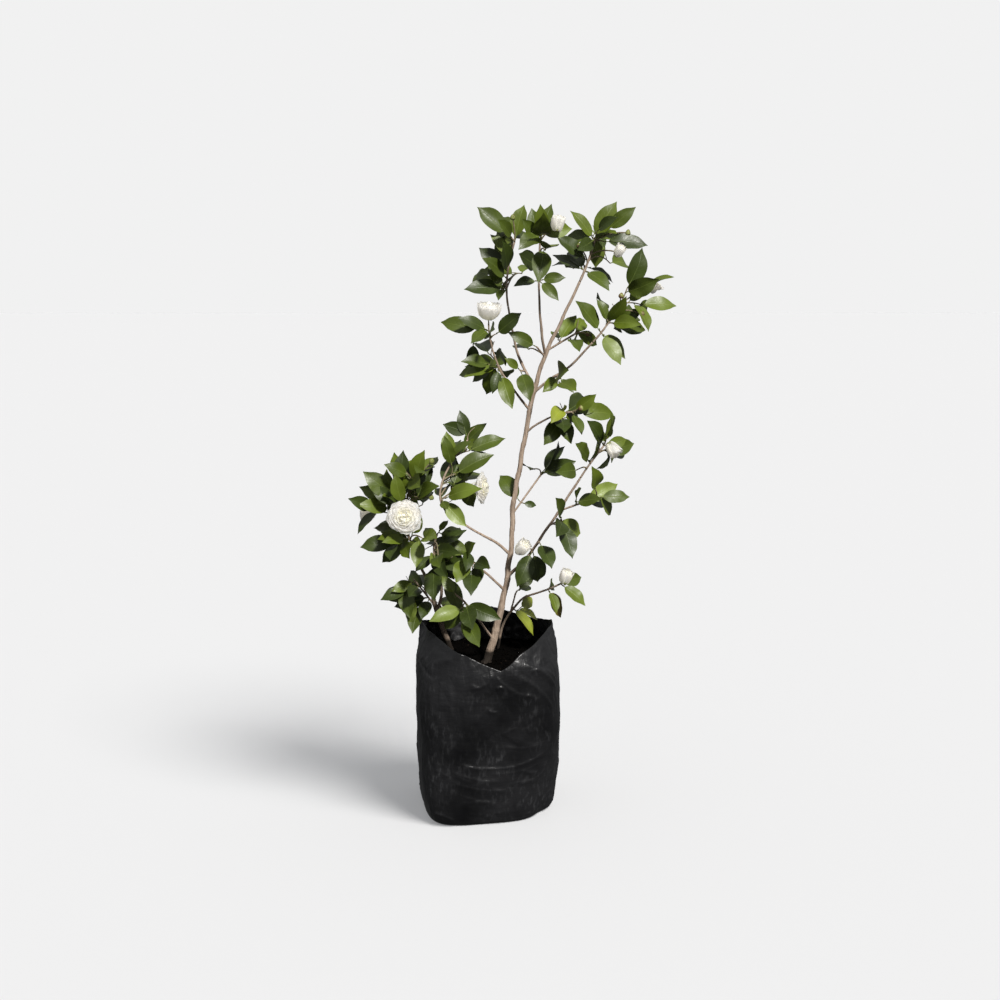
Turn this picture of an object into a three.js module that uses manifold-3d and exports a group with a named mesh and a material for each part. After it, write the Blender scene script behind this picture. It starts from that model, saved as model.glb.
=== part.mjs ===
// A young camellia shrub standing in its black polythene grow bag.
// Millimetres, +Z up. The origin is the centre of the bag's flat underside; -Y is the front.
import * as THREE from 'three';
import { mergeVertices } from 'three/addons/utils/BufferGeometryUtils.js';
import Module from 'manifold-3d';

const wasm = await Module();
wasm.setup();

// ---- Driving dimensions -------------------------------------------------------------------

const CLEARANCE = 0.3;

const BAG = {
  sides: 24,
  wall: 2,
  soil: 352, // height of the potting mix, and so of the flat cut under each stem
  corner: 437, // height of the rim at its left and right corners
  dip: { x: 26, z: 362 }, // the front of the rim sags to this point
  backSag: 18, // the back of the rim sags this much midway to each corner
  backEase: 1.5, // power that rounds that sag
  frontEase: 0.8, // power that draws the front of the rim down sooner than a plain ellipse would
  turn: 10, // degrees that the squarish foot is turned about +Z
  // The foot's front right corner is tucked in and its front left one pushed out: the angle of
  // each, in degrees, and how far it moves in, of its distance from the middle.
  footCorners: [{ angle: -45, tuck: 0.14 }, { angle: -135, tuck: -0.07 }],
  cornerSpread: 28, // degrees
  cornerHeight: 180, // where the tuck has run out
  // height, half width, half depth, squareness (2 is an ellipse)
  profile: [
    [0, 144, 134, 3.3],
    [9, 154, 145, 3.5],
    [34, 158, 150, 3.7],
    [120, 163, 155, 3.8],
    [230, 165, 157, 3.6],
    [310, 166, 157, 3.2],
    [352, 165, 155, 2.7],
    [395, 160, 146, 2.2],
    [437, 153, 130, 1.8],
  ],
};

const LIMB = {
  sides: 6,
  stepsPerSpan: 2,
  footSwell: 1.15, // a bough's foot is this much thicker than its first bend
  footShare: 0.85, // but no more than this share of the limb that carries it
};

const TWIG = {
  steps: 2,
  stemSteps: 4,
  stemSides: 4,
  stemRadius: 2.2, // at the end of a mass's stem
  sideShare: 0.8, // of the limb's radius, for a mass's stem that stands on its side
  radius: 1.8, // where a twig leaves its stem
  tipRadius: 1.5,
  bareSides: 3,
  bendFirst: 0.45, // part of a twig's length that follows the line it starts on
  aim: 0.6, // how far that line turns from the stem's direction towards the twig's end
  branchBack: 0.3, // a twig leaves the stem this part of the stem before it comes abreast
  firstBranch: 0.3, // no twig leaves the stem before this part of it
  flowerSeat: 0.35, // from a flower's middle back to the end of its twig, of its radius
  gap: 4, // twigs of two masses stay this far apart
  limbGap: 3, // from the middle of a twig to a limb's surface
};

const LEAF = {
  length: 85,
  endLength: [0.9, 1.14], // of the length
  sideLength: [0.76, 1.04],
  leastTwig: 6, // length of twig left behind an end leaf
  halfWidth: 0.235, // of the length
  widthRange: [0.86, 1.12],
  thickness: 1.3,
  arch: 0.07, // rise of the midrib over the straight line from root to tip, of the length
  archRange: [0.2, 1.6],
  fold: 0.2, // how far the edges stand above the midrib, of the half width
  lastSeat: 0.4, // side leaves stand along the twig, the last this many steps from its end
  seatSpan: 0.85, // and the first within this part of its length
  spread: [46, 70], // degrees between a side leaf and its twig
  turnEach: 137.5, // degrees about the twig from one side leaf to the next
  turnWander: 40,
  droop: 0.14,
  endWander: 0.45, // how freely an end leaf's upper face strays from the light
  sideWander: 0.9,
  sink: 0.6, // depth of the root past the middle of the twig
  apart: 0.34, // of its length, between its middle and the next leaf's middle in its mass
  gap: 3, // from its own space's border
  limbGap: 7, // from a limb's surface
  stations: [0.3, 0.66], // along the length, with the half width at each
  outline: [0.94, 0.9],
  tested: [0.25, 0.4, 0.57, 0.74, 0.88], // along the length, where its place is tested
  testedEase: 0.85, // power that sets the widest part of the tested outline behind the middle
};

// The upper face of a leaf turns towards the sun, upwards and away from the middle of the crown.
const LIGHT = new THREE.Vector3(0.3, -0.78, 0.46);
const OUTWARD_SHARE = 0.45;
const LEAN_OF_CROWN = 0.26; // sideways per millimetre of height above the soil

const FLOWER = {
  sides: 10,
  dip: 0.9, // every other point of its edge stands in to this part of the radius
  crown: 0.12, // height of its middle over its front ring, of the radius
};
// radius and height of each ring as parts of the flower's radius, from its back to its front
const FLOWERS = {
  open: [[0.3, -0.48], [1, -0.02], [0.78, 0.24], [0.36, 0.36]],
  cup: [[0.26, -0.85], [0.78, -0.35], [1, 0.42], [0.5, 0.36]],
  half: [[0.28, -0.95], [0.8, -0.4], [0.74, 0.4], [0.28, 0.9]],
  bud: [[0.5, -0.9], [1, -0.15], [0.7, 0.7]],
};
const BUD = { radius: 8, sides: 5 };

// ---- Limbs: x, y, z and radius at each bend ------------------------------------------------

const LIMBS = {
  trunk: {
    sides: 8,
    path: [
      [-2, -50, BAG.soil + CLEARANCE, 13],
      [4, -50, 368, 9.6],
      [23, -48, 436, 7.8],
      [44, -42, 535, 6.3],
      [56, -35, 630, 5.5],
      [60, -30, 713, 5.6],
      [79, -20, 825, 5.1],
      [97, -10, 925, 5.2],
      [109, -5, 976, 4.9],
      [132, 0, 1048, 4.3],
      [169, 8, 1125, 3.4],
      [206, 14, 1204, 2.9],
    ],
  },
  left_stem: {
    path: [
      [-86, 53, BAG.soil + CLEARANCE, 8.5],
      [-90, 51, 366, 7.2],
      [-108, 40, 419, 6.4],
      [-121, 27, 469, 5.4],
      [-125, 21, 492, 4.8],
    ],
  },
  right_stem: {
    path: [
      [25, 62, BAG.soil + CLEARANCE, 3.6],
      [38, 42, 417, 2.7],
      [80, 6, 484, 2.4],
      [128, -24, 512, 2.1],
    ],
  },
  bough_upper_middle: { on: 'trunk', at: 1044, path: [[120, -25, 1100, 2.8], [115, -44, 1176, 2.3]] },
  bough_upper_left: {
    on: 'trunk', at: 972,
    path: [[80, 10, 1021, 2.9], [63, 20, 1069, 2.6], [48, 25, 1150, 2.2]],
  },
  bough_left: { on: 'trunk', at: 922, path: [[70, -18, 955, 2.6], [44, -25, 991, 2.3]] },
  bough_right: {
    on: 'trunk', at: 962,
    path: [[140, -14, 990, 2.8], [186, -28, 1024, 2.5], [232, -45, 1074, 2.2]],
  },
  bough_right_middle: { on: 'trunk', at: 872, path: [[108, -24, 890, 2.4], [134, -38, 906, 2.2]] },
  bough_lower_right: {
    on: 'trunk', at: 548,
    path: [[93, -55, 600, 3.2], [141, -70, 676, 2.9], [184, -80, 745, 2.6], [206, -83, 781, 2.4]],
  },
  bough_left_upper: {
    on: 'trunk', at: 600,
    path: [[20, -42, 628, 2.9], [-30, -46, 658, 2.6], [-79, -50, 692, 2.3]],
  },
  bough_left_lower: { on: 'trunk', at: 518, path: [[10, -60, 552, 2.7], [-23, -75, 583, 2.3]] },
  shoot_low_left: { on: 'trunk', at: 406, path: [[-14, -70, 450, 2.4], [-41, -90, 494, 2.1]] },
  fork_outer: { on: 'left_stem', at: 484, path: [[-146, 14, 545, 3.2], [-166, 6, 598, 2.6]] },
  fork_inner: { on: 'left_stem', at: 448, path: [[-104, 18, 505, 3.3], [-118, 8, 575, 2.7]] },
};

// ---- Masses of foliage ---------------------------------------------------------------------
// A leafy spray is named by the point that its end leaf reaches and the leaves beside that one.

const leafy = (x, y, z, leaves = 1) => ({ tip: [x, y, z], leaves });
const flower = (kind, at, face, radius, leaves = 0) => ({ tip: at, leaves, flower: { kind, face, radius } });
const bud = (x, y, z) => flower('bud', [x, y, z], [0.2, -0.2, 1], BUD.radius);

const MASSES = {
  foliage_top_left: {
    on: 'bough_upper_left', seed: 11, stem: [62, 16, 1290],
    sprays: [
      leafy(-20, 20, 1366, 2), leafy(84, 30, 1372, 2), leafy(10, 15, 1308, 2), leafy(-16, 40, 1280),
      leafy(-4, -30, 1258), leafy(-50, 0, 1192, 2), leafy(26, -30, 1168), leafy(28, 230, 1332, 1),
      leafy(102, 212, 1240, 2), leafy(-31, 187, 1214, 2), bud(58, 0, 1345),
    ],
  },
  foliage_top_middle: {
    on: 'bough_upper_middle', seed: 23, stem: [116, -58, 1290],
    sprays: [
      leafy(140, -50, 1371, 1), leafy(119, -159, 1347, 1), leafy(60, -72, 1196), leafy(158, -75, 1166),
      leafy(172, -60, 1215), leafy(76, -90, 1336, 1), leafy(133, -216, 1279, 2), leafy(69, -148, 1262),
      flower('half', [153, -84, 1329], [0.15, -0.1, 1], 20, 1),
    ],
  },
  foliage_top_right: {
    on: 'trunk', seed: 37, stem: [238, 16, 1292],
    sprays: [
      leafy(182, 10, 1357, 2), leafy(281, 14, 1380, 2), leafy(325, 0, 1366, 1), leafy(356, 20, 1284),
      leafy(154, 0, 1306), leafy(145, 30, 1262), leafy(268, -40, 1188), leafy(277, 30, 1198, 1),
      leafy(257, 255, 1312, 1), leafy(184, 221, 1235, 1), leafy(327, 187, 1240, 1),
      flower('half', [290, -22, 1272], [0.45, -0.3, 0.8], 16), bud(308, -20, 1312), bud(203, -5, 1284),
    ],
  },
  foliage_far_right: {
    on: 'bough_right', seed: 41, stem: [290, -52, 1156],
    sprays: [
      leafy(342, -40, 1277, 1), leafy(416, -30, 1156, 3), leafy(292, -85, 1030, 1), leafy(192, -70, 1166),
      leafy(242, -50, 1170), leafy(352, -20, 1098, 2), leafy(342, 162, 1127, 1), leafy(254, 128, 1169, 2),
      flower('open', [368, -15, 1199], [0.25, -0.15, 1], 26, 1), bud(338, -62, 1138), bud(290, -80, 1178),
    ],
  },
  foliage_leader: {
    on: 'trunk', at: 1054, seed: 53, stem: [200, -14, 1094],
    sprays: [
      leafy(204, -96, 1062, 0), leafy(215, 40, 1122, 2), leafy(171, 144, 1082, 1), bud(224, -26, 1094),
    ],
  },
  foliage_node: {
    on: 'trunk', at: 1040, seed: 59, stem: [112, -22, 1062],
    sprays: [leafy(48, -40, 1097, 0), leafy(65, 144, 1058, 1)],
  },
  foliage_fork_right: {
    on: 'bough_right', at: 996, seed: 61, stem: [158, -40, 1000],
    sprays: [leafy(191, -62, 966, 1), leafy(122, -75, 968, 0), leafy(174, -148, 1021)],
  },
  foliage_fork_left: {
    on: 'bough_upper_left', at: 1008, seed: 67, stem: [76, -12, 1010],
    sprays: [leafy(40, -30, 1040, 0), leafy(96, -72, 948, 1)],
  },
  foliage_left_upper: {
    on: 'bough_left', seed: 71, stem: [6, -40, 1098],
    sprays: [
      flower('cup', [6, -45, 1149], [0.05, -0.15, 1], 29), leafy(-102, -15, 1115, 1),
      leafy(-60, -70, 1130), leafy(78, -85, 1138, 0), leafy(-50, -55, 1004), leafy(-24, 20, 1036, 1),
      leafy(20, -142, 1110), leafy(14, -50, 962, 1), leafy(58, -78, 932, 0), leafy(-21, 144, 1067, 0),
      leafy(50, 119, 981, 0),
    ],
  },
  foliage_right_middle: {
    on: 'bough_right_middle', seed: 83, stem: [188, -62, 924],
    sprays: [
      leafy(169, -85, 942), leafy(241, -78, 963, 1), leafy(284, -12, 914, 1), leafy(188, -75, 856),
      leafy(205, -110, 880, 0), leafy(225, 35, 945, 2), leafy(160, 45, 905, 1), bud(206, -78, 936),
    ],
  },
  foliage_right: {
    on: 'bough_lower_right', seed: 97, stem: [256, -86, 852],
    sprays: [
      leafy(190, -159, 870, 1), leafy(220, -135, 916), leafy(266, -173, 933, 1), leafy(310, -60, 862),
      flower('half', [277, -98, 846], [0.6, -0.35, -0.7], 20), leafy(240, 40, 880, 1),
      leafy(310, 30, 830, 1), leafy(148, -176, 807),
    ],
  },
  foliage_right_low: {
    on: 'bough_lower_right', at: 706, seed: 101, stem: [244, -84, 738],
    sprays: [leafy(317, -72, 736, 1), leafy(229, -162, 818), leafy(193, -189, 773), leafy(260, 10, 720, 1)],
  },
  foliage_lower_right: {
    on: 'bough_lower_right', at: 672, seed: 103, stem: [164, -96, 690],
    sprays: [
      leafy(150, -162, 752), leafy(150, -176, 669), leafy(190, -148, 615), leafy(215, -30, 650, 1),
    ],
  },
  foliage_lower_inner: {
    on: 'bough_lower_right', at: 606, seed: 107, stem: [116, -92, 640],
    sprays: [
      leafy(144, -151, 593), flower('half', [80, -92, 628], [0.55, -0.45, 0.7], 21), leafy(66, -96, 540, 0),
      leafy(116, -40, 534, 1),
    ],
  },
  foliage_trunk_right: {
    on: 'trunk', at: 692, seed: 109, stem: [122, 14, 772],
    sprays: [
      leafy(160, -30, 858, 1), leafy(28, 28, 770, 0), leafy(112, -10, 706), leafy(177, 102, 784, 1),
      leafy(81, 187, 768, 0),
    ],
  },
  foliage_left_inner: {
    on: 'bough_left_upper', seed: 113, stem: [-42, -18, 856],
    sprays: [
      leafy(-59, -10, 923, 0), leafy(-89, -15, 876, 0), leafy(42, -15, 863, 0), leafy(18, -32, 824, 0),
      leafy(-12, -90, 764, 0), leafy(-70, 10, 815, 0), leafy(-42, -75, 672), leafy(-84, -95, 712),
      flower('open', [-6, -44, 753], [1, -0.3, 0.05], 40), leafy(-11, 128, 762, 2),
      leafy(-72, 136, 833, 1), leafy(-90, 40, 740, 1),
    ],
  },
  foliage_left_outer: {
    on: 'fork_outer', seed: 127, stem: [-186, 0, 700],
    sprays: [
      flower('open', [-181, -88, 695], [-0.12, -1, 0.12], 43), leafy(-274, -20, 788, 1),
      flower('open', [-276, 55, 683], [-0.7, 0.5, 0.15], 33), leafy(-188, 0, 831, 1),
      leafy(-136, -45, 837, 1), leafy(-215, -80, 738), leafy(-288, 20, 748, 1), leafy(-288, -10, 612, 1),
      leafy(-120, 20, 802, 1), leafy(-206, 212, 736, 1), leafy(-262, 187, 625, 2), leafy(-134, 187, 707, 2),
      leafy(-146, -64, 618), leafy(-104, -148, 660, 0), leafy(-106, -92, 768), bud(-122, -25, 812),
      bud(-121, -72, 738), leafy(-245, -60, 640, 1),
    ],
  },
  foliage_left_lower: {
    on: 'fork_inner', seed: 131, stem: [-112, -6, 640],
    sprays: [
      leafy(-60, -62, 606), leafy(-118, -70, 500), leafy(-54, -62, 470, 0), leafy(-96, -173, 600, 0),
      leafy(-50, -40, 562), leafy(-61, 119, 630, 2), leafy(-134, 170, 596, 2), leafy(-50, 40, 560, 1),
      leafy(-86, 10, 668, 1), leafy(-160, -40, 560, 0),
    ],
  },
  foliage_left_low: {
    on: 'left_stem', at: 462, seed: 137, stem: [-168, 8, 532],
    sprays: [
      leafy(-217, -25, 512, 1), leafy(-215, 20, 464), leafy(-175, -70, 510, 1), leafy(-164, 170, 504, 1),
      leafy(-150, -40, 450, 0),
    ],
  },
  foliage_left_foot: {
    on: 'left_stem', at: 440, seed: 139, stem: [-98, 12, 470],
    sprays: [leafy(-62, 5, 428, 1), leafy(-72, 119, 468, 1)],
  },
  foliage_centre_left: {
    on: 'bough_left_lower', seed: 149, stem: [-44, -88, 606],
    sprays: [
      leafy(-35, -169, 535), leafy(-21, -148, 648, 0), leafy(-66, -150, 562, 1), leafy(10, -162, 600, 0),
    ],
  },
  foliage_low_left: {
    on: 'shoot_low_left', seed: 151, stem: [-66, -98, 520],
    sprays: [leafy(-27, -165, 460), leafy(-100, -80, 560, 0), leafy(-95, -90, 440, 1)],
  },
  foliage_low_right: {
    on: 'right_stem', seed: 157, stem: [166, -46, 534],
    sprays: [
      flower('half', [178, -55, 553], [0.3, -0.2, 0.95], 20), leafy(223, -62, 488), leafy(158, -62, 470),
      leafy(150, 40, 520, 2), leafy(215, 0, 540, 1),
    ],
  },
  foliage_right_foot: {
    on: 'right_stem', at: 448, seed: 163, stem: [66, 40, 490],
    sprays: [leafy(110, 10, 400, 0), leafy(96, 153, 485, 1)],
  },
};

// ---- Small helpers -------------------------------------------------------------------------

const UP = new THREE.Vector3(0, 0, 1);
const ALONG = 0.85; // a direction runs along an axis when this much of it lies that way
const vec = (values) => new THREE.Vector3(values[0], values[1], values[2]);
const radians = (degrees) => (degrees * Math.PI) / 180;
const mix = (a, b, share) => a + (b - a) * share;

// A repeatable stream of numbers between 0 and 1.
function seeded(seed) {
  let state = seed >>> 0;
  return () => {
    state = (state + 0x6d2b79f5) >>> 0;
    let mixed = Math.imul(state ^ (state >>> 15), state | 1);
    mixed ^= mixed + Math.imul(mixed ^ (mixed >>> 7), mixed | 61);
    return ((mixed ^ (mixed >>> 14)) >>> 0) / 4294967296;
  };
}

// The part of a direction that lies square to an axis.
function squareTo(direction, axis) {
  return direction.clone().addScaledVector(axis, -direction.dot(axis)).normalize();
}

// A closed skin over rings of points, each ring anticlockwise about the way the rings advance.
// An end ring of one point closes to it, and any other end ring is closed flat. Each four-sided
// patch is halved along one diagonal, or along the other where the skin must match a facing one.
function skin(rings, otherDiagonal = false) {
  const points = rings.flat();
  const faces = [];
  const starts = [];
  let count = 0;
  for (const ring of rings) {
    starts.push(count);
    count += ring.length;
  }
  for (let k = 0; k + 1 < rings.length; k += 1) {
    const [low, high] = [rings[k].length, rings[k + 1].length];
    const around = Math.max(low, high);
    for (let i = 0; i < around; i += 1) {
      const next = (i + 1) % around;
      const a = starts[k] + (low > 1 ? i : 0);
      const b = starts[k] + (low > 1 ? next : 0);
      const c = starts[k + 1] + (high > 1 ? next : 0);
      const d = starts[k + 1] + (high > 1 ? i : 0);
      if (otherDiagonal && low > 1 && high > 1) {
        faces.push(a, b, d, b, c, d);
      } else {
        if (a !== b) faces.push(a, b, c);
        if (c !== d) faces.push(a, c, d);
      }
    }
  }
  const last = rings.length - 1;
  for (let i = 1; i + 1 < rings[0].length; i += 1) faces.push(0, i + 1, i);
  for (let i = 1; i + 1 < rings[last].length; i += 1) {
    faces.push(starts[last], starts[last] + i, starts[last] + i + 1);
  }
  const geometry = new THREE.BufferGeometry().setFromPoints(points);
  geometry.setIndex(faces);
  return geometry;
}

function toSolid(geometry) {
  const merged = mergeVertices(geometry, 1e-4);
  return new wasm.Manifold(new wasm.Mesh({
    numProp: 3,
    vertProperties: new Float32Array(merged.attributes.position.array),
    triVerts: new Uint32Array(merged.index.array),
  }));
}

function toGeometry(solid) {
  const mesh = solid.getMesh();
  const geometry = new THREE.BufferGeometry();
  geometry.setAttribute('position', new THREE.BufferAttribute(mesh.vertProperties, 3));
  geometry.setIndex(new THREE.BufferAttribute(mesh.triVerts, 1));
  return geometry;
}

function lineDirection(line, k) {
  return line[Math.min(k + 1, line.length - 1)].clone().sub(line[Math.max(k - 1, 0)]).normalize();
}

// Rings round a line of points, carried along without twisting. The first ring can face a set way.
function ringsAlong(line, radii, sides, firstDirection = null) {
  const rings = [];
  let normal = null;
  line.forEach((point, k) => {
    const tangent = k === 0 && firstDirection ? firstDirection : lineDirection(line, k);
    const start = Math.abs(tangent.x) < ALONG ? new THREE.Vector3(1, 0, 0) : new THREE.Vector3(0, 1, 0);
    normal = squareTo(normal ?? start, tangent);
    const binormal = tangent.clone().cross(normal);
    const ring = [];
    for (let i = 0; i < sides; i += 1) {
      const angle = (i / sides) * 2 * Math.PI;
      ring.push(point.clone()
        .addScaledVector(normal, radii[k] * Math.cos(angle))
        .addScaledVector(binormal, radii[k] * Math.sin(angle)));
    }
    rings.push(ring);
  });
  return rings;
}

// ---- Limbs ---------------------------------------------------------------------------------

// The point, direction and radius where a limb passes a height.
function atHeight(limb, height) {
  for (let k = 0; k + 1 < limb.line.length; k += 1) {
    const [low, high] = [limb.line[k], limb.line[k + 1]];
    if (low.z <= height && high.z > height) {
      const share = (height - low.z) / (high.z - low.z);
      return {
        point: low.clone().lerp(high, share),
        direction: high.clone().sub(low).normalize(),
        radius: mix(limb.radii[k], limb.radii[k + 1], share),
      };
    }
  }
  throw new Error(`no point at height ${height}`);
}

// A limb's middle line is one smooth curve through its bends, and its radius runs evenly between.
function growLimb(spec, limbs) {
  const bends = spec.path.map(vec);
  const sizes = spec.path.map((bend) => bend[3]);
  if (spec.on) {
    const foot = atHeight(limbs[spec.on], spec.at);
    bends.unshift(foot.point);
    sizes.unshift(Math.min(sizes[0] * LIMB.footSwell, foot.radius * LIMB.footShare));
  }
  const curve = new THREE.CatmullRomCurve3(bends, false, 'catmullrom', 0.5);
  const spans = bends.length - 1;
  const steps = spans * LIMB.stepsPerSpan;
  const limb = { on: spec.on, sides: spec.sides ?? LIMB.sides, line: [], radii: [] };
  for (let k = 0; k <= steps; k += 1) {
    const along = k / LIMB.stepsPerSpan;
    const span = Math.min(Math.floor(along), spans - 1);
    limb.line.push(curve.getPoint(k / steps));
    limb.radii.push(mix(sizes[span], sizes[span + 1], along - span));
  }
  return limb;
}

function limbSolid(limb, extra = 0) {
  const radii = limb.radii.map((radius) => radius + extra);
  const rings = ringsAlong(limb.line, radii, limb.sides);
  // A stem that rises from the mix is cut level there, and its flare stays level.
  if (!limb.on) {
    for (let k = 0; k < LIMB.stepsPerSpan; k += 1) {
      for (const point of rings[k]) point.z = limb.line[k].z;
    }
  }
  return toSolid(skin(rings));
}

const limbs = {};
for (const [name, spec] of Object.entries(LIMBS)) limbs[name] = growLimb(spec, limbs);

// ---- Twigs, leaves and flowers of a mass ---------------------------------------------------

// A twig sets off along one direction and bends over to its end.
function twigLine(start, direction, end, steps) {
  const reach = start.distanceTo(end);
  const bend = start.clone().addScaledVector(direction, reach * TWIG.bendFirst);
  return new THREE.QuadraticBezierCurve3(start, bend, end).getPoints(steps);
}

function pointOnLine(line, share) {
  const along = share * (line.length - 1);
  const k = Math.min(Math.floor(along), line.length - 2);
  return {
    point: line[k].clone().lerp(line[k + 1], along - k),
    direction: line[k + 1].clone().sub(line[k]).normalize(),
  };
}

// The way the upper face of a leaf at a point turns.
function facing(point, direction, wander, random) {
  const axis = LEAN_OF_CROWN * (point.z - BAG.soil);
  const outward = new THREE.Vector3(point.x - axis, point.y, 0).normalize();
  const wanted = LIGHT.clone().addScaledVector(outward, OUTWARD_SHARE);
  wanted.x += (random() - 0.5) * wander;
  wanted.y += (random() - 0.5) * wander;
  wanted.z += (random() - 0.5) * wander;
  return squareTo(wanted, direction);
}

function makeLeaf(root, direction, length, wander, random) {
  return {
    root,
    direction,
    length,
    normal: facing(root, direction, wander, random),
    halfWidth: length * LEAF.halfWidth * mix(...LEAF.widthRange, random()),
    arch: LEAF.arch * mix(...LEAF.archRange, random()),
  };
}

// The end leaf runs from the end of the twig to the tip, and the rest stand about the twig.
function growSpray(spray, stem, random) {
  const tip = vec(spray.tip);
  const whole = stem.line[stem.line.length - 1].clone().sub(stem.line[0]);
  const abreast = tip.clone().sub(stem.line[0]).dot(whole) / whole.lengthSq();
  const share = Math.min(Math.max(abreast - TWIG.branchBack, TWIG.firstBranch), 1);
  const start = pointOnLine(stem.line, share);
  const towards = tip.clone().sub(start.point);
  const reach = towards.length();
  towards.normalize();
  const setOff = start.direction.clone().lerp(towards, TWIG.aim).normalize();
  let end;
  let length = LEAF.length * mix(...LEAF.endLength, random());
  if (spray.flower) {
    const back = spray.flower.radius * TWIG.flowerSeat;
    end = tip.clone().addScaledVector(vec(spray.flower.face).normalize(), -back);
  } else {
    length = Math.min(length, reach - LEAF.leastTwig);
    end = tip.clone().addScaledVector(towards, -length);
  }
  const line = twigLine(start.point, setOff, end, TWIG.steps);
  const endLeaf = spray.flower ? null : makeLeaf(end, towards, length, LEAF.endWander, random);
  const sideLeaves = [];
  const phase = random() * 360;
  for (let k = 0; k < spray.leaves; k += 1) {
    const fromEnd = (k + LEAF.lastSeat) / (spray.leaves + 0.5);
    const seat = pointOnLine(line, 1 - fromEnd * LEAF.seatSpan);
    const angle = radians(phase + k * LEAF.turnEach + (random() - 0.5) * LEAF.turnWander);
    const spread = radians(mix(...LEAF.spread, random()));
    const sideways = seat.direction.clone().cross(UP).normalize();
    const upward = sideways.clone().cross(seat.direction);
    const direction = seat.direction.clone().multiplyScalar(Math.cos(spread))
      .addScaledVector(sideways, Math.sin(spread) * Math.cos(angle))
      .addScaledVector(upward, Math.sin(spread) * Math.sin(angle));
    direction.z -= LEAF.droop;
    direction.normalize();
    const sideLength = LEAF.length * mix(...LEAF.sideLength, random());
    sideLeaves.push(makeLeaf(seat.point, direction, sideLength, LEAF.sideWander, random));
  }
  return { tip, line, endLeaf, sideLeaves, flower: spray.flower };
}

// A mass has one stem, which carries on from the end of its bough or stands on a limb's side.
function growMass(name, spec) {
  const random = seeded(spec.seed);
  const limb = limbs[spec.on];
  const last = limb.line.length - 1;
  const foot = spec.at
    ? atHeight(limb, spec.at)
    : { point: limb.line[last].clone(), direction: lineDirection(limb.line, last), radius: limb.radii[last] };
  const end = vec(spec.stem);
  if (!spec.at) foot.point.addScaledVector(foot.direction, CLEARANCE);
  const direction = spec.at ? end.clone().sub(foot.point).normalize() : foot.direction;
  const line = twigLine(foot.point, direction, end, TWIG.stemSteps);
  const radius = spec.at ? Math.min(TWIG.stemRadius, foot.radius * TWIG.sideShare) : foot.radius;
  const stem = { line, radius, direction };
  const sprays = spec.sprays.map((spray) => growSpray(spray, stem, random));
  return { name, spec, stem, sprays };
}

const masses = Object.entries(MASSES).map(([name, spec]) => growMass(name, spec));

// ---- Keeping each mass to its own space ----------------------------------------------------

function distanceToLine(point, line) {
  let nearest = Infinity;
  const span = new THREE.Vector3();
  const offset = new THREE.Vector3();
  for (let k = 0; k + 1 < line.length; k += 1) {
    span.subVectors(line[k + 1], line[k]);
    offset.subVectors(point, line[k]);
    const share = Math.min(Math.max(offset.dot(span) / span.lengthSq(), 0), 1);
    nearest = Math.min(nearest, offset.addScaledVector(span, -share).length());
  }
  return nearest;
}

// A mass owns the points that lie nearer its stem and sprays than any other mass's.
for (const mass of masses) {
  mass.lines = [mass.stem.line, ...mass.sprays.map((spray) => [...spray.line, spray.tip])];
}

const toMass = (point, mass) => Math.min(...mass.lines.map((line) => distanceToLine(point, line)));

function staysInside(points, mass, gap) {
  return points.every((point) => {
    const own = toMass(point, mass);
    return masses.every((other) => other === mass || toMass(point, other) > own + gap);
  });
}

// How near the points come to the surface of any limb.
function limbDistance(points) {
  let nearest = Infinity;
  for (const limb of Object.values(limbs)) {
    for (const point of points) {
      for (let k = 0; k + 1 < limb.line.length; k += 1) {
        const away = distanceToLine(point, [limb.line[k], limb.line[k + 1]]);
        nearest = Math.min(nearest, away - Math.max(limb.radii[k], limb.radii[k + 1]));
      }
    }
  }
  return nearest;
}

// A point of a leaf: along its length from 0 to 1, and across it from -1 to 1.
function leafPoint(leaf, along, across, halfWidth) {
  const side = leaf.normal.clone().cross(leaf.direction);
  const lift = leaf.arch * leaf.length * 4 * along * (1 - along) + Math.abs(across) * LEAF.fold * halfWidth;
  return leaf.root.clone()
    .addScaledVector(leaf.direction, along * leaf.length)
    .addScaledVector(side, across * halfWidth)
    .addScaledVector(leaf.normal, lift);
}

function leafSamples(leaf) {
  const samples = [leafPoint(leaf, 1, 0, 0)];
  for (const along of LEAF.tested) {
    const halfWidth = leaf.halfWidth * Math.sin(Math.PI * along ** LEAF.testedEase);
    for (const across of [-1, 0, 1]) samples.push(leafPoint(leaf, along, across, halfWidth));
  }
  return samples;
}

// ---- Solids of a mass ----------------------------------------------------------------------

const taper = (line, radius, tipRadius) => (
  line.map((_, k) => mix(radius, tipRadius, k / (line.length - 1)))
);

// A ring of four points: a lozenge across a twig or a leaf, its two sides lifted by the fold.
function lozenge(middle, side, normal, halfWidth, halfThickness, lift) {
  return [
    middle.clone().addScaledVector(side, halfWidth).addScaledVector(normal, lift),
    middle.clone().addScaledVector(normal, halfThickness),
    middle.clone().addScaledVector(side, -halfWidth).addScaledVector(normal, lift),
    middle.clone().addScaledVector(normal, -halfThickness),
  ];
}

// A leaf is a thin folded blade: a lozenge at each station, drawn out to a point at its tip.
function leafRings(leaf) {
  const side = leaf.normal.clone().cross(leaf.direction);
  const rings = LEAF.stations.map((along, k) => {
    const halfWidth = leaf.halfWidth * LEAF.outline[k];
    const middle = leafPoint(leaf, along, 0, halfWidth);
    return lozenge(middle, side, leaf.normal, halfWidth, LEAF.thickness / 2, LEAF.fold * halfWidth);
  });
  return [...rings, [leafPoint(leaf, 1, 0, 0)]];
}

function leafSolid(leaf) {
  const root = leaf.root.clone().addScaledVector(leaf.direction, -LEAF.sink);
  return toSolid(skin([[root], ...leafRings(leaf)]));
}

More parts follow.
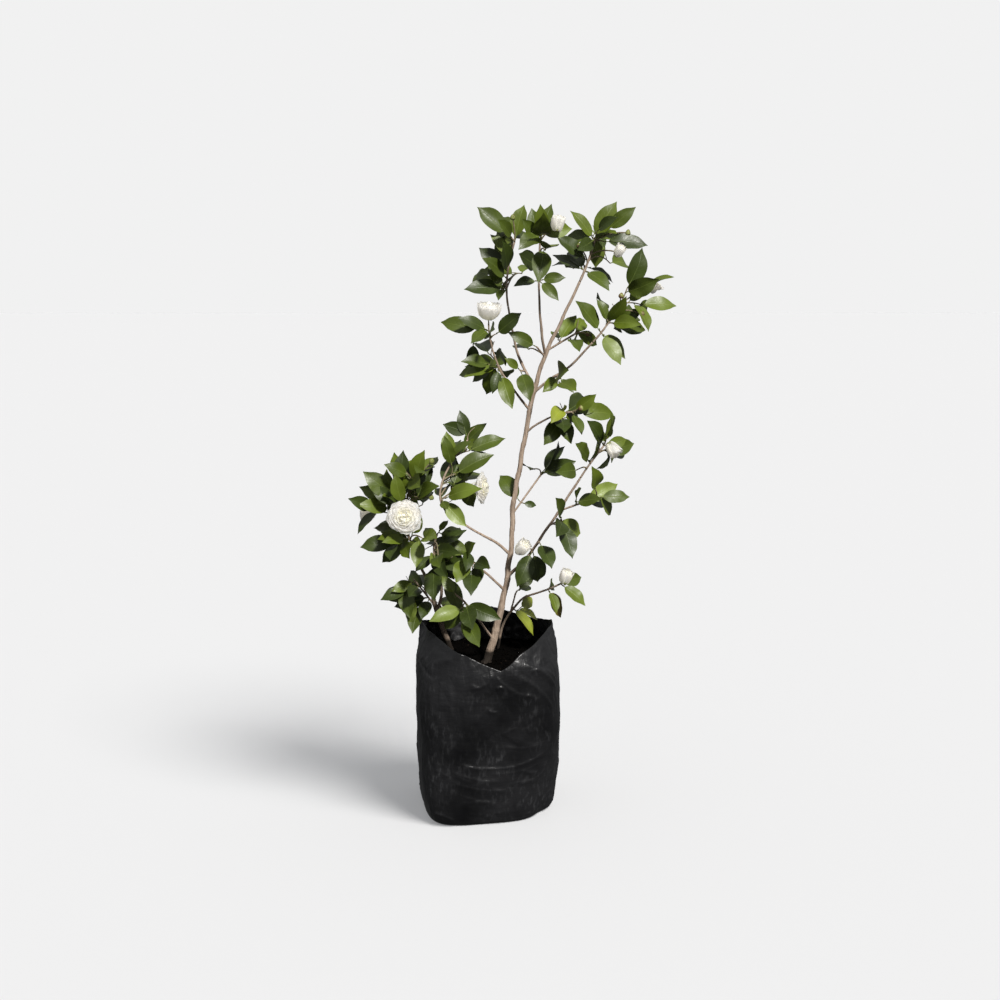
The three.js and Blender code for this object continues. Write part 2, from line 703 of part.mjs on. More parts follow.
// A twig that ends in a leaf runs on into its blade.
function leafyTwigSolid(line, leaf) {
  const radii = taper(line, TWIG.radius, TWIG.tipRadius);
  const rings = line.map((point, k) => {
    const tangent = lineDirection(line, k);
    const normal = squareTo(leaf.normal, tangent);
    return lozenge(point, normal.clone().cross(tangent), normal, radii[k], radii[k], 0);
  });
  return toSolid(skin([...rings, ...leafRings(leaf)]));
}

function bareTwigSolid(line) {
  const radii = taper(line, TWIG.radius, TWIG.tipRadius);
  return toSolid(skin(ringsAlong(line, radii, TWIG.bareSides)));
}

// A flower is one closed dome whose edge waves from petal to petal.
function flowerSolid(tip, { kind, face, radius }) {
  const axis = vec(face).normalize();
  const side = squareTo(Math.abs(axis.z) < ALONG ? UP : new THREE.Vector3(1, 0, 0), axis);
  const other = axis.clone().cross(side);
  const sides = kind === 'bud' ? BUD.sides : FLOWER.sides;
  const profile = FLOWERS[kind];
  const rings = profile.map(([out, height]) => {
    const ring = [];
    for (let i = 0; i < sides; i += 1) {
      const angle = (i / sides) * 2 * Math.PI;
      const wave = kind === 'bud' || i % 2 ? 1 : FLOWER.dip;
      ring.push(tip.clone()
        .addScaledVector(axis, height * radius)
        .addScaledVector(side, out * radius * wave * Math.cos(angle))
        .addScaledVector(other, out * radius * wave * Math.sin(angle)));
    }
    return ring;
  });
  const front = profile[profile.length - 1][1];
  rings.push([tip.clone().addScaledVector(axis, (front + FLOWER.crown) * radius)]);
  return toSolid(skin(rings));
}

function twigClear(spray, mass) {
  return limbDistance(spray.line.slice(1)) > TWIG.limbGap && staysInside(spray.line, mass, TWIG.gap);
}

// A leaf is kept inside its mass's own space, clear of every limb and of the leaves placed before.
function leafKept(leaf, mass, placed) {
  const samples = leafSamples(leaf);
  const middle = leafPoint(leaf, 0.5, 0, leaf.halfWidth);
  const apart = placed.every((other) => other.distanceTo(middle) > LEAF.apart * leaf.length);
  const kept = apart && staysInside(samples, mass, LEAF.gap) && limbDistance(samples) > LEAF.limbGap;
  if (kept) placed.push(middle);
  return kept;
}

function massSolid(mass) {
  const { stem, sprays, spec } = mass;
  const radii = taper(stem.line, stem.radius, Math.min(stem.radius, TWIG.stemRadius));
  const pieces = [toSolid(skin(ringsAlong(stem.line, radii, TWIG.stemSides, stem.direction)))];
  const placed = [];
  const clear = sprays.filter((spray) => twigClear(spray, mass));
  for (const spray of clear) {
    const endKept = spray.endLeaf && leafKept(spray.endLeaf, mass, placed);
    pieces.push(endKept ? leafyTwigSolid(spray.line, spray.endLeaf) : bareTwigSolid(spray.line));
    if (spray.flower) pieces.push(flowerSolid(spray.tip, spray.flower));
  }
  for (const spray of clear) {
    for (const leaf of spray.sideLeaves) {
      if (leafKept(leaf, mass, placed)) pieces.push(leafSolid(leaf));
    }
  }
  const joined = wasm.Manifold.union(pieces);
  return spec.at ? joined.subtract(limbSolid(limbs[spec.on], CLEARANCE)) : joined;
}

// ---- The grow bag and its filling ----------------------------------------------------------

function planAt(height) {
  const rows = BAG.profile;
  let k = 0;
  while (k + 2 < rows.length && rows[k + 1][0] <= height) k += 1;
  const share = Math.min((height - rows[k][0]) / (rows[k + 1][0] - rows[k][0]), 1);
  return rows[k].map((value, i) => mix(value, rows[k + 1][i], share));
}

// How far a point of the foot stands out, of its plain distance: less at a corner that is tucked in.
function footReach(angle, height) {
  const low = Math.max(0, 1 - height / BAG.cornerHeight);
  let reach = 1;
  for (const corner of BAG.footCorners) {
    const away = Math.sin((angle - radians(corner.angle)) / 2) / Math.sin(radians(BAG.cornerSpread) / 2);
    reach -= corner.tuck * low * Math.exp(-away * away);
  }
  return reach;
}

// A point of the bag's wall at an angle and height, moved inwards by an inset.
function wallPoint(angle, height, inset) {
  const [, halfWidth, halfDepth, squareness] = planAt(height);
  const power = 2 / squareness;
  const curve = (value) => Math.sign(value) * Math.abs(value) ** power;
  const reach = footReach(angle, height);
  const x = (halfWidth - inset) * reach * curve(Math.cos(angle));
  const y = (halfDepth - inset) * reach * curve(Math.sin(angle));
  const turn = radians(BAG.turn) * Math.max(0, 1 - height / BAG.corner);
  return new THREE.Vector3(
    x * Math.cos(turn) - y * Math.sin(turn),
    x * Math.sin(turn) + y * Math.cos(turn),
    height,
  );
}

// The rim is highest at its two side corners, sags at the back and falls to a low point in front.
function rimHeight(angle) {
  const { corner, dip, backSag, backEase, frontEase } = BAG;
  if (Math.sin(angle) >= 0) return corner - backSag * Math.abs(Math.sin(2 * angle)) ** backEase;
  const [, halfWidth] = planAt(BAG.soil);
  const x = halfWidth * Math.sign(Math.cos(angle)) * Math.abs(Math.cos(angle)) ** frontEase;
  const side = x < dip.x ? (dip.x - x) / (dip.x + halfWidth) : (x - dip.x) / (halfWidth - dip.x);
  return mix(dip.z, corner, Math.min(side, 1));
}

function wallRing(heightOf, inset) {
  const ring = [];
  for (let i = 0; i < BAG.sides; i += 1) {
    const angle = (i / BAG.sides) * 2 * Math.PI;
    ring.push(wallPoint(angle, heightOf(angle), inset));
  }
  return ring;
}

const levels = BAG.profile.map((row) => row[0]).filter((height) => height <= BAG.soil);

function bagSolid() {
  const rings = levels.map((height) => wallRing(() => height, 0));
  const freeWall = (share) => (angle) => mix(BAG.soil, rimHeight(angle), share);
  for (const share of [0.5, 1]) rings.push(wallRing(freeWall(share), 0));
  for (const share of [1, 0.5]) rings.push(wallRing(freeWall(share), BAG.wall));
  for (const height of levels.slice(1).reverse()) rings.push(wallRing(() => height, BAG.wall));
  const floor = wallRing(() => 0, BAG.wall);
  for (const point of floor) point.z = BAG.wall;
  rings.push(floor);
  return toSolid(skin(rings));
}

function mixSolid() {
  const inset = BAG.wall + CLEARANCE;
  const rings = levels.map((height) => wallRing(() => height, inset));
  for (const point of rings[0]) point.z = inset;
  return toSolid(skin(rings, true));
}

// ---- Assembly ------------------------------------------------------------------------------

const MATERIALS = {
  film: { color: 0x1c1d20, roughness: 0.42 },
  mix: { color: 0x17120e, roughness: 1 },
  bark: { color: 0x8d7866, roughness: 0.85 },
  foliage: { color: 0x47651f, roughness: 0.4 },
};

const shrub = new THREE.Group();

function addNode(name, solid, material) {
  const mesh = new THREE.Mesh(
    toGeometry(solid),
    new THREE.MeshStandardMaterial({ metalness: 0, ...MATERIALS[material] }),
  );
  mesh.name = name;
  shrub.add(mesh);
}

addNode('grow_bag', bagSolid(), 'film');
addNode('potting_mix', mixSolid(), 'mix');
for (const [name, limb] of Object.entries(limbs)) {
  const solid = limbSolid(limb);
  // A bough is seated on the limb that carries it.
  addNode(name, limb.on ? solid.subtract(limbSolid(limbs[limb.on], CLEARANCE)) : solid, 'bark');
}
for (const mass of masses) addNode(mass.name, massSolid(mass), 'foliage');

export default shrub;
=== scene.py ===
# A young camellia shrub in its black polythene grow bag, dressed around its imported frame.
# Blender's units are metres, with +Z up and the front towards -Y. Sizes here are in millimetres.
import math

import bpy
import numpy as np
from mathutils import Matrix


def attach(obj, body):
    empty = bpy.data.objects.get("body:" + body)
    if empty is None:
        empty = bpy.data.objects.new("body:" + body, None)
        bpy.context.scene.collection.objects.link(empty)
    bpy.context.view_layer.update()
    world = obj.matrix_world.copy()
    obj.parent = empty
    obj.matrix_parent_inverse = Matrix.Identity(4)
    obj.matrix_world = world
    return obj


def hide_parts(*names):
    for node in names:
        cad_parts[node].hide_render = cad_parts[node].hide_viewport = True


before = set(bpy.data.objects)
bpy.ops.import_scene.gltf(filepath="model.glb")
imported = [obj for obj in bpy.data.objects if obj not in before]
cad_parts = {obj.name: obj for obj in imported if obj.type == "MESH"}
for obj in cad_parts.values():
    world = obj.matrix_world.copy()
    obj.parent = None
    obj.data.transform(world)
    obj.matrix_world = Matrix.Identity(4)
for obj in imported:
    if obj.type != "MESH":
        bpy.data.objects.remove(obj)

mm = 0.001
fullTurn = 2 * math.pi
up = np.array([0.0, 0.0, 1.0])
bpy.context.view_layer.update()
print("frame loaded:", len(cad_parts), "nodes")


class Nodes:
    # a node tree, with a short way to add each node that the finishes use
    def __init__(self, tree):
        self.tree = tree

    def feed(self, node, values):
        # each value is a number, a colour or another node's socket
        for key, value in values.items():
            socket = node.inputs[key]
            if isinstance(value, bpy.types.NodeSocket):
                self.tree.links.new(value, socket)
            elif socket.type == "RGBA":
                socket.default_value = (*value, 1.0)
            else:
                socket.default_value = value

    def add(self, kind, values=None, **settings):
        node = self.tree.nodes.new("ShaderNode" + kind)
        for key, value in settings.items():
            setattr(node, key, value)
        self.feed(node, values or {})
        return node

    def place(self):
        return self.add("TexCoord").outputs["Object"]

    def shape(self):
        return self.add("UVMap", uv_map="shape").outputs[0]

    def maths(self, operation, first, second=0.0, third=0.0):
        return self.add("Math", {0: first, 1: second, 2: third}, operation=operation).outputs[0]

    def times(self, first, second):
        return self.maths("MULTIPLY", first, second)

    def timesPlus(self, first, second, third):
        return self.maths("MULTIPLY_ADD", first, second, third)

    def parts(self, vector):
        return self.add("SeparateXYZ", {0: vector}).outputs

    def ranged(self, value, span, reach=(0.0, 1.0)):
        # carries a value from one span to another
        values = {"Value": value, "From Min": span[0], "From Max": span[1]}
        return self.add("MapRange", {**values, "To Min": reach[0], "To Max": reach[1]}).outputs[0]

    def noise(self, place, scale, detail, roughness=0.5, output="Fac"):
        values = {"Vector": place, "Scale": scale, "Detail": detail, "Roughness": roughness}
        return self.add("TexNoise", values).outputs[output]

    def cells(self, place, scale, feature="F1"):
        return self.add("TexVoronoi", {"Vector": place, "Scale": scale}, feature=feature).outputs["Distance"]

    def mottle(self, scale, detail=3.0):
        return self.add("Group", {"Scale": scale, "Detail": detail}, node_tree=groups["mottle"]).outputs[0]

    def blend(self, share, first, second):
        # sockets 6 and 7 are the two colours
        return self.add("Mix", {"Factor": share, 6: first, 7: second}, data_type="RGBA").outputs[2]

    def bump(self, height, strength, distance):
        return self.add("Bump", {"Height": height, "Strength": strength, "Distance": distance}).outputs[0]


def newMaterial(name, roughness, specular):
    material = bpy.data.materials.new(name)
    material.use_nodes = True
    material.node_tree.nodes.clear()
    nodes = Nodes(material.node_tree)
    shader = nodes.add("BsdfPrincipled", {"Roughness": roughness, "Specular IOR Level": specular})
    nodes.add("OutputMaterial", {"Surface": shader.outputs[0]})
    return material, nodes, shader


# Camera, floor and light

studio = {
    "cameraPlace": (0.030, -3.000, 1.250),
    "cameraDip": 10.07,  # degrees below the horizon
    "lens": 48.53,
    "sensor": 36.0,
    "floorSize": 60.0,
    "floorTone": (0.588, 0.594, 0.605),
    "floorGlow": (0.198, 0.199, 0.202),
    "backdropTone": (0.88, 0.88, 0.88),
    "fillHeights": (-0.3, 0.6),  # the light from all round grows between these heights of a direction
    "fillStrength": (0.07, 0.36),
    "fillColor": (0.97, 0.985, 1.0),
    # strength, degrees to the right of the camera, height above the floor, spread
    "plantLamp": (4.15, 24.0, 42.0, 6.0),
    "floorLamp": (3.27, 53.0, 53.5, 26.0),  # lights the floor alone, for a soft wide shadow
    "lampColor": (1.0, 0.975, 0.94),
}


def addToScene(name, data):
    thing = bpy.data.objects.new(name, data)
    bpy.context.scene.collection.objects.link(thing)
    return thing


def placeCamera():
    data = bpy.data.cameras.new("viewCamera")
    data.lens = studio["lens"]
    data.sensor_width = studio["sensor"]
    camera = addToScene("viewCamera", data)
    camera.location = studio["cameraPlace"]
    camera.rotation_euler = (math.radians(90.0 - studio["cameraDip"]), 0.0, 0.0)
    bpy.context.scene.camera = camera


def lightWorld():
    # the camera sees an even backdrop, and the plant a fill that is strongest from above
    bpy.context.scene.view_settings.view_transform = "Standard"
    world = bpy.data.worlds.new("paleStudio")
    bpy.context.scene.world = world
    world.use_nodes = True
    world.node_tree.nodes.clear()
    nodes = Nodes(world.node_tree)
    height = nodes.parts(nodes.add("TexCoord").outputs["Generated"])["Z"]
    strength = nodes.ranged(height, studio["fillHeights"], studio["fillStrength"])
    seen = nodes.add("Background", {"Color": studio["backdropTone"], "Strength": 1.0}).outputs[0]
    fill = nodes.add("Background", {"Color": studio["fillColor"], "Strength": strength}).outputs[0]
    fromCamera = nodes.add("LightPath").outputs["Is Camera Ray"]
    both = nodes.add("MixShader", {0: fromCamera, 1: fill, 2: seen})
    nodes.add("OutputWorld", {"Surface": both.outputs[0]})


def addLamp(name, floor, lightsFloor):
    # each lamp is told whether the floor takes its light
    strength, side, height, spread = studio[name]
    data = bpy.data.lights.new(name, "SUN")
    data.energy = strength
    data.angle = math.radians(spread)
    data.color = studio["lampColor"]
    lamp = addToScene(name, data)
    lamp.rotation_euler = (math.radians(90.0 - height), 0.0, math.radians(side))
    taken = bpy.data.collections.new(name + "Takers")
    taken.objects.link(floor)
    lamp.light_linking.receiver_collection = taken
    taken.collection_objects[0].light_linking.link_state = "INCLUDE" if lightsFloor else "EXCLUDE"


def layFloor():
    half = studio["floorSize"] / 2
    corners = [(-half, -half, 0), (half, -half, 0), (half, half, 0), (-half, half, 0)]
    mesh = bpy.data.meshes.new("floor")
    mesh.from_pydata(corners, [], [(0, 1, 2, 3)])
    # a little of the floor's tone shines by itself, which keeps the shadow pale
    material, nodes, shader = newMaterial("paleFloor", 1.0, 0.0)
    glow = {"Emission Color": studio["floorGlow"], "Emission Strength": 1.0}
    nodes.feed(shader, {"Base Color": studio["floorTone"], **glow})
    mesh.materials.append(material)
    floor = addToScene("floor", mesh)
    floor.visible_diffuse = False
    floor.visible_glossy = False
    return floor


# Small helpers


def unit(vectors):
    return vectors / np.linalg.norm(vectors, axis=-1, keepdims=True)


def mix(low, high, share):
    return low + (high - low) * share


def smoothStep(low, high, value):
    share = np.clip((value - low) / (high - low), 0.0, 1.0)
    return share * share * (3.0 - 2.0 * share)


def squareTo(vectors, axis):
    # the part of a direction that lies square to an axis
    return unit(vectors - axis * (vectors * axis).sum(-1, keepdims=True))


def seeded(seed):
    # a repeatable stream of numbers between 0 and 1, the one that the solids grow by
    whole = 0xFFFFFFFF
    state = seed & whole

    def draw():
        nonlocal state
        state = (state + 0x6D2B79F5) & whole
        mixed = ((state ^ (state >> 15)) * (state | 1)) & whole
        mixed ^= (mixed + (mixed ^ (mixed >> 7)) * (mixed | 61)) & whole
        return (mixed ^ (mixed >> 14)) / (whole + 1)

    return draw


def waves(places, seed, count, sizes):
    # smooth noise near -1 to 1: a sum of sines along random directions, wavelengths between two sizes
    draw = np.random.default_rng(seed)
    total = np.zeros(places.shape[:-1])
    for _ in range(count):
        direction = unit(draw.normal(size=places.shape[-1]))
        length = math.exp(draw.uniform(math.log(sizes[0]), math.log(sizes[1])))
        total += np.sin(places @ direction * (fullTurn / length) + draw.uniform(0, fullTurn))
    return total / math.sqrt(count)


# Meshes: every piece is a heap of closed tubes, each a row of rings with a pole at both ends


def tubeFaces(rows, around):
    ring = np.arange(around)
    after = (ring + 1) % around
    low = (np.arange(rows - 1) * around)[:, None]
    sides = np.stack([low + ring, low + after, low + around + after, low + around + ring], -1)
    none = np.full(around, -1)
    top = (rows - 1) * around
    foot = np.stack([after, ring, np.full(around, rows * around), none], -1)
    tip = np.stack([top + ring, top + after, np.full(around, rows * around + 1), none], -1)
    return np.vstack([foot, sides.reshape(-1, 4), tip])


class Pile:
    def __init__(self, name, slotName, materials):
        self.name = name
        self.slotName = slotName
        self.materials = materials
        self.points, self.faces, self.slots, self.shapes, self.rims = [], [], [], [], []
        self.count = 0
        self.tubes = 0

    def add(self, rings, poles=None, slots=0, shape=None, rimColumns=()):
        # rings: tubes x rows x around x 3. shape: two values per point that a finish can follow
        tubes, rows, around = rings.shape[:3]
        if poles is None:
            poles = np.stack([rings[:, 0].mean(1), rings[:, -1].mean(1)], 1)
        each = rows * around + 2
        self.points.append(np.concatenate([rings.reshape(tubes, -1, 3), poles], 1).reshape(-1, 3))
        template = tubeFaces(rows, around)
        starts = self.count + np.arange(tubes)[:, None, None] * each
        self.faces.append(np.where(template < 0, -1, template + starts).reshape(-1, 4))
        slots = np.broadcast_to(np.asarray(slots), (tubes, len(template)))
        self.slots.append(slots.reshape(-1))
        if shape is None:
            shape = np.zeros((tubes, each, 2))
        self.shapes.append(shape.reshape(-1, 2))
        # a point on a rim carries its tube's number and its column, so that the rim can be creased
        rim = np.full((tubes, each), -1)
        order = (np.arange(tubes) + self.tubes)[:, None] * 4
        for place, column in enumerate(rimColumns):
            rim[:, column:rows * around:around] = order + place
        if rimColumns:
            rim[:, -2:] = order + 3
        self.rims.append(rim.reshape(-1))
        self.count += tubes * each
        self.tubes += tubes

    def sharpEdges(self, mesh):
        # edges that run along one rim of one tube, or from a rim to its tube's pole
        rims = np.concatenate(self.rims)
        ends = np.empty(len(mesh.edges) * 2, dtype=np.int32)
        mesh.edges.foreach_get("vertices", ends)
        first, second = rims[ends[0::2]], rims[ends[1::2]]
        sameTube = (first >= 0) & (second >= 0) & (first // 4 == second // 4)
        return sameTube & ((first == second) | (first % 4 == 3) | (second % 4 == 3))

    def build(self, *replaced):
        points = np.concatenate(self.points) * mm
        faces = np.concatenate(self.faces)
        shapes = np.concatenate(self.shapes)
        corners = faces[faces >= 0]
        totals = (faces >= 0).sum(1)
        starts = np.concatenate([[0], np.cumsum(totals)[:-1]])
        mesh = bpy.data.meshes.new(self.name)
        mesh.vertices.add(len(points))
        mesh.vertices.foreach_set("co", points.ravel())
        mesh.loops.add(len(corners))
        mesh.loops.foreach_set("vertex_index", corners.astype(np.int32))
        mesh.polygons.add(len(faces))
        mesh.polygons.foreach_set("loop_start", starts.astype(np.int32))
        mesh.polygons.foreach_set("material_index", np.concatenate(self.slots).astype(np.int32))
        mesh.update(calc_edges=True)
        mesh.polygons.foreach_set("use_smooth", np.ones(len(faces), dtype=bool))
        layer = mesh.uv_layers.new(name="shape")
        layer.data.foreach_set("uv", shapes[corners].astype(np.float32).ravel())
        sharp = self.sharpEdges(mesh)
        mesh.attributes.new("sharp_edge", "BOOLEAN", "EDGE").data.foreach_set("value", sharp)
        for material in self.materials:
            mesh.materials.append(material)
        piece = addToScene(self.name, mesh)
        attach(piece, "root")
        if replaced:
            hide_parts(*replaced)
        print(self.name, self.tubes, "tubes,", int((totals - 2).sum()), "triangles")


def carriedRings(lines, radii, around, firstNormal=None):
    # circles square to each line, carried along it without twisting. lines: tubes x rows x 3
    tangents = unit(np.gradient(lines, axis=1))
    angle = np.arange(around) * (fullTurn / around)
    start = np.where(np.abs(tangents[:, 0, :1]) < 0.8, [[1.0, 0, 0]], [[0, 1.0, 0]])
    normal = start if firstNormal is None else firstNormal
    rings = []
    for row in range(lines.shape[1]):
        tangent = tangents[:, row]
        normal = squareTo(normal, tangent)
        other = np.cross(tangent, normal)
        spoke = normal[:, None] * np.cos(angle)[:, None] + other[:, None] * np.sin(angle)[:, None]
        radius = radii[:, row]
        radius = radius[:, None, None] if radius.ndim == 1 else radius[:, :, None]
        rings.append(lines[:, row, None] + spoke * radius)
    return np.stack(rings, 1)


# Finishes. Each dictionary's bump is its strength and its depth in metres


def newGroup(name, inputs, outputs):
    group = bpy.data.node_groups.new(name, "ShaderNodeTree")
    for label, kind, value in inputs:
        socket = group.interface.new_socket(label, in_out="INPUT", socket_type="NodeSocket" + kind)
        if value is not None:
            socket.default_value = value
    for label in outputs:
        group.interface.new_socket(label, in_out="OUTPUT", socket_type="NodeSocketFloat")
    given = group.nodes.new("NodeGroupInput")
    made = group.nodes.new("NodeGroupOutput")
    return group, Nodes(group), given.outputs, made


def mottleGroup():
    # soft uneven tone: noise on the piece's own coordinates, spread between 0 and 1
    sizes = [("Scale", "Float", 30.0), ("Detail", "Float", 3.0)]
    group, nodes, given, made = newGroup("mottle", sizes, ["Value"])
    grain = nodes.noise(nodes.place(), given["Scale"], given["Detail"])
    nodes.feed(made, {"Value": nodes.ranged(grain, (0.3, 0.7))})
    return group


veins = {
    "count": 8.0,
    "slant": 0.22,  # how far a side vein runs forward to the edge
    "ribWidth": 0.085,  # of the midrib at the foot
    "ribTaper": -0.05,
    "crest": (0.82, 1.0),  # part of each wave that is vein
    "faint": 0.22,
    "sink": -0.5,
}


def veinGroup():
    # a midrib along the middle, 1 - side / width, and side veins at the crests of |2 fract(run) - 1|
    # where run = (along - side * slant) * count. Across and along run from 0 to 1 on the blade
    inputs = [
        ("Shape", "Vector", None), ("Count", "Float", veins["count"]), ("Slant", "Float", veins["slant"]),
    ]
    group, nodes, given, made = newGroup("veins", inputs, ["Veins", "Swell"])
    across, along = nodes.parts(given["Shape"])[:2]
    side = nodes.maths("ABSOLUTE", nodes.timesPlus(across, 2.0, -1.0))
    width = nodes.timesPlus(along, veins["ribTaper"], veins["ribWidth"])
    midrib = nodes.maths("SUBTRACT", 1.0, nodes.maths("DIVIDE", side, width))
    midrib = nodes.maths("MINIMUM", nodes.maths("MAXIMUM", midrib, 0.0), 1.0)
    forward = nodes.maths("SUBTRACT", along, nodes.times(side, given["Slant"]))
    run = nodes.maths("FRACT", nodes.times(forward, given["Count"]))
    wave = nodes.maths("ABSOLUTE", nodes.timesPlus(run, 2.0, -1.0))
    fade = nodes.maths("SUBTRACT", 1.0, nodes.maths("POWER", side, 2.0))
    vein = nodes.times(nodes.ranged(wave, veins["crest"]), fade)
    seen = nodes.maths("MAXIMUM", midrib, nodes.times(vein, veins["faint"]))
    swell = nodes.maths("SUBTRACT", nodes.times(nodes.times(vein, fade), veins["sink"]), midrib)
    nodes.feed(made, {"Veins": seen, "Swell": swell})
    return group


groups = {"mottle": mottleGroup(), "veins": veinGroup()}


def shaded(color, share):
    return tuple(share * part for part in color)


leafFinish = {
    "tones": {
        # upper face, vein, underside
        "deep": ((0.036, 0.056, 0.006), (0.085, 0.120, 0.022), (0.080, 0.105, 0.028)),
        "middle": ((0.066, 0.096, 0.008), (0.135, 0.180, 0.028), (0.110, 0.145, 0.032)),
        "fresh": ((0.108, 0.150, 0.011), (0.200, 0.260, 0.040), (0.150, 0.195, 0.038)),
        "pale": ((0.170, 0.225, 0.035), (0.290, 0.360, 0.095), (0.200, 0.250, 0.070)),
        "yellow": ((0.235, 0.275, 0.026), (0.360, 0.400, 0.080), (0.270, 0.290, 0.050)),
        "rusty": ((0.190, 0.150, 0.022), (0.290, 0.250, 0.050), (0.200, 0.165, 0.040)),
    },
    # roughness and how strongly the veins show
    "upper": (0.42, 0.6),
    "under": (0.55, 0.5),
    "specular": 0.5,
    "coarse": 14.0,
    "fine": 240.0,
    "darker": 0.66,
    "lighter": 1.22,
    "freckles": 0.10,
    "roughSpan": 0.12,
    "roughLess": 0.05,
    "swell": 1.2,
    "bump": (0.5, 0.0005),
}
toneNames = list(leafFinish["tones"])


def leafMaterial(name, color, veinColor, roughness, mark):
    material, nodes, shader = newMaterial(name, roughness, leafFinish["specular"])
    blade = nodes.add("Group", {"Shape": nodes.shape()}, node_tree=groups["veins"]).outputs
    coarse = nodes.mottle(leafFinish["coarse"])
    fine = nodes.mottle(leafFinish["fine"])
    base = nodes.blend(coarse, shaded(color, leafFinish["darker"]), shaded(color, leafFinish["lighter"]))
    base = nodes.blend(nodes.times(fine, leafFinish["freckles"]), base, veinColor)
    height = nodes.timesPlus(coarse, leafFinish["swell"], blade["Swell"])
    nodes.feed(shader, {
        "Base Color": nodes.blend(nodes.times(blade["Veins"], mark), base, veinColor),
        "Roughness": nodes.timesPlus(fine, leafFinish["roughSpan"], roughness - leafFinish["roughLess"]),
        "Normal": nodes.bump(height, *leafFinish["bump"]),
    })
    return material


barkFinish = {
    "roughness": 0.8,
    "specular": 0.25,
    "stretch": 0.16,  # the grooves are noise drawn out along the height
    "detail": 5.0,
    "noiseRoughness": 0.65,
    "grooves": (0.36, 0.62),
    "spotScale": 0.55,  # of the grooves'
    "spots": (0.22, 0.08),
    "spotShare": 0.5,
    "tone": 26.0,
    "toneShare": 0.4,
    "shade": 0.62,
    "strength": 0.8,
    # the feet of the stems are painted black up to a wandering line, in metres: a painted shadow of the bag's
    # rim
    "rimShadowLine": (0.382, 0.373),
    "rimShadowWander": -0.006,
    "rimShadowColor": (0.004, 0.003, 0.0022),
    "rimShadowShare": 0.94,
}


def barkMaterial(name, color, groove, spot, scale, depth):
    # long grooves with paler breathing spots
    finish = barkFinish
    material, nodes, shader = newMaterial(name, finish["roughness"], finish["specular"])
    place = nodes.place()
    drawn = nodes.add("Mapping", {"Vector": place, "Scale": (1.0, 1.0, finish["stretch"])}).outputs[0]
    grain = nodes.noise(drawn, scale, finish["detail"], finish["noiseRoughness"])
    grain = nodes.ranged(grain, finish["grooves"])
    spots = nodes.ranged(nodes.cells(place, scale * finish["spotScale"]), finish["spots"])
    tone = nodes.mottle(finish["tone"])
    base = nodes.blend(grain, groove, color)
    base = nodes.blend(nodes.times(tone, finish["toneShare"]), base, shaded(color, finish["shade"]))
    base = nodes.blend(nodes.times(spots, finish["spotShare"]), base, spot)
    # painted shadow: below a wandering height the bark turns black, where the rim's shadow falls on the stems
    level = nodes.timesPlus(tone, finish["rimShadowWander"], nodes.parts(place)["Z"])
    paintedRimShadow = nodes.times(nodes.ranged(level, finish["rimShadowLine"]), finish["rimShadowShare"])
    nodes.feed(shader, {
        "Base Color": nodes.blend(paintedRimShadow, base, finish["rimShadowColor"]),
        "Normal": nodes.bump(nodes.timesPlus(spots, finish["spotShare"], grain), finish["strength"], depth),
    })
    return material


stalkFinish = {"specular": 0.4, "tone": 60.0, "fine": 500.0, "bump": (0.3, 0.0004)}


def stalkMaterial(name, color, darker, roughness):
    material, nodes, shader = newMaterial(name, roughness, stalkFinish["specular"])
    nodes.feed(shader, {
        "Base Color": nodes.blend(nodes.mottle(stalkFinish["tone"]), darker, color),
        "Normal": nodes.bump(nodes.mottle(stalkFinish["fine"]), *stalkFinish["bump"]),
    })
    return material


petalFinish = {
    "roughness": 0.55,
    "specular": 0.3,
    "foot": (0.75, 0.1),  # cream towards the petal's foot
    "rim": (0.9, 1.0),  # faintly bruised at its rim
    "patch": 45.0,
    "bruise": 0.6,
    "ribs": 55.0,
    "bump": (0.12, 0.0004),
    # light that goes through the petals, and a painted glow from their emission that stands in for light
    # coming from behind them
    "through": {
        "Subsurface Weight": 0.7,
        "Subsurface Radius": (1.0, 0.9, 0.8),
        "Subsurface Scale": 0.010,
        "Emission Color": (1.0, 0.96, 0.88),
        "Emission Strength": 0.09,
    },
}


def petalMaterial(name, color, base, edge):
    finish = petalFinish
    material, nodes, shader = newMaterial(name, finish["roughness"], finish["specular"])
    across, along = nodes.parts(nodes.shape())[:2]
    tint = nodes.blend(nodes.ranged(along, finish["foot"]), color, base)
    patches = nodes.times(nodes.ranged(along, finish["rim"]), nodes.mottle(finish["patch"]))
    ribs = nodes.maths("SINE", nodes.times(across, finish["ribs"]))
    nodes.feed(shader, {
        "Base Color": nodes.blend(nodes.times(patches, finish["bruise"]), tint, edge),
        "Normal": nodes.bump(ribs, *finish["bump"]),
        # subsurface light, and a painted glow from a faint cream emission
        **finish["through"],
    })
    return material


filmFinish = {
    "roughness": 0.3,
    "specular": 0.36,
    "warp": (18.0, 2.0, 0.012),  # noise scale, its detail and the share of it that bends the place
    # crumpled cells with their ridges: stretch along the height, scale, weight in the relief
    "cells": (0.6, 26.0, 0.8),
    "ridge": (0.0, 0.22),
    "facets": (0.45, 70.0, 0.7),
    # noise: stretch along the height, scale, detail, weight in the relief
    "sag": (3.2, 34.0, 3.0, 1.0),
    "tension": (0.10, 150.0, 2.0, 0.4),
    "grain": (0.45, 260.0, 3.0, 0.3),
    "patches": (6.0, 3.0),
    "strength": (0.7, 0.3),  # by patches, and everywhere
    "depth": 0.0014,
    # dusty scuffs drawn out along the height; on the inner film the same marks are much paler, a painted
    # sheen
    "scuffs": (0.38, 130.0, 7.0),
    "scuffSpan": (0.52, 0.80),
    "dustAndSheen": (11.0, 5.0),
    "dustPower": 2.0,
    "dustRough": (0.16, 0.24),
    "scuffRough": 0.25,
}


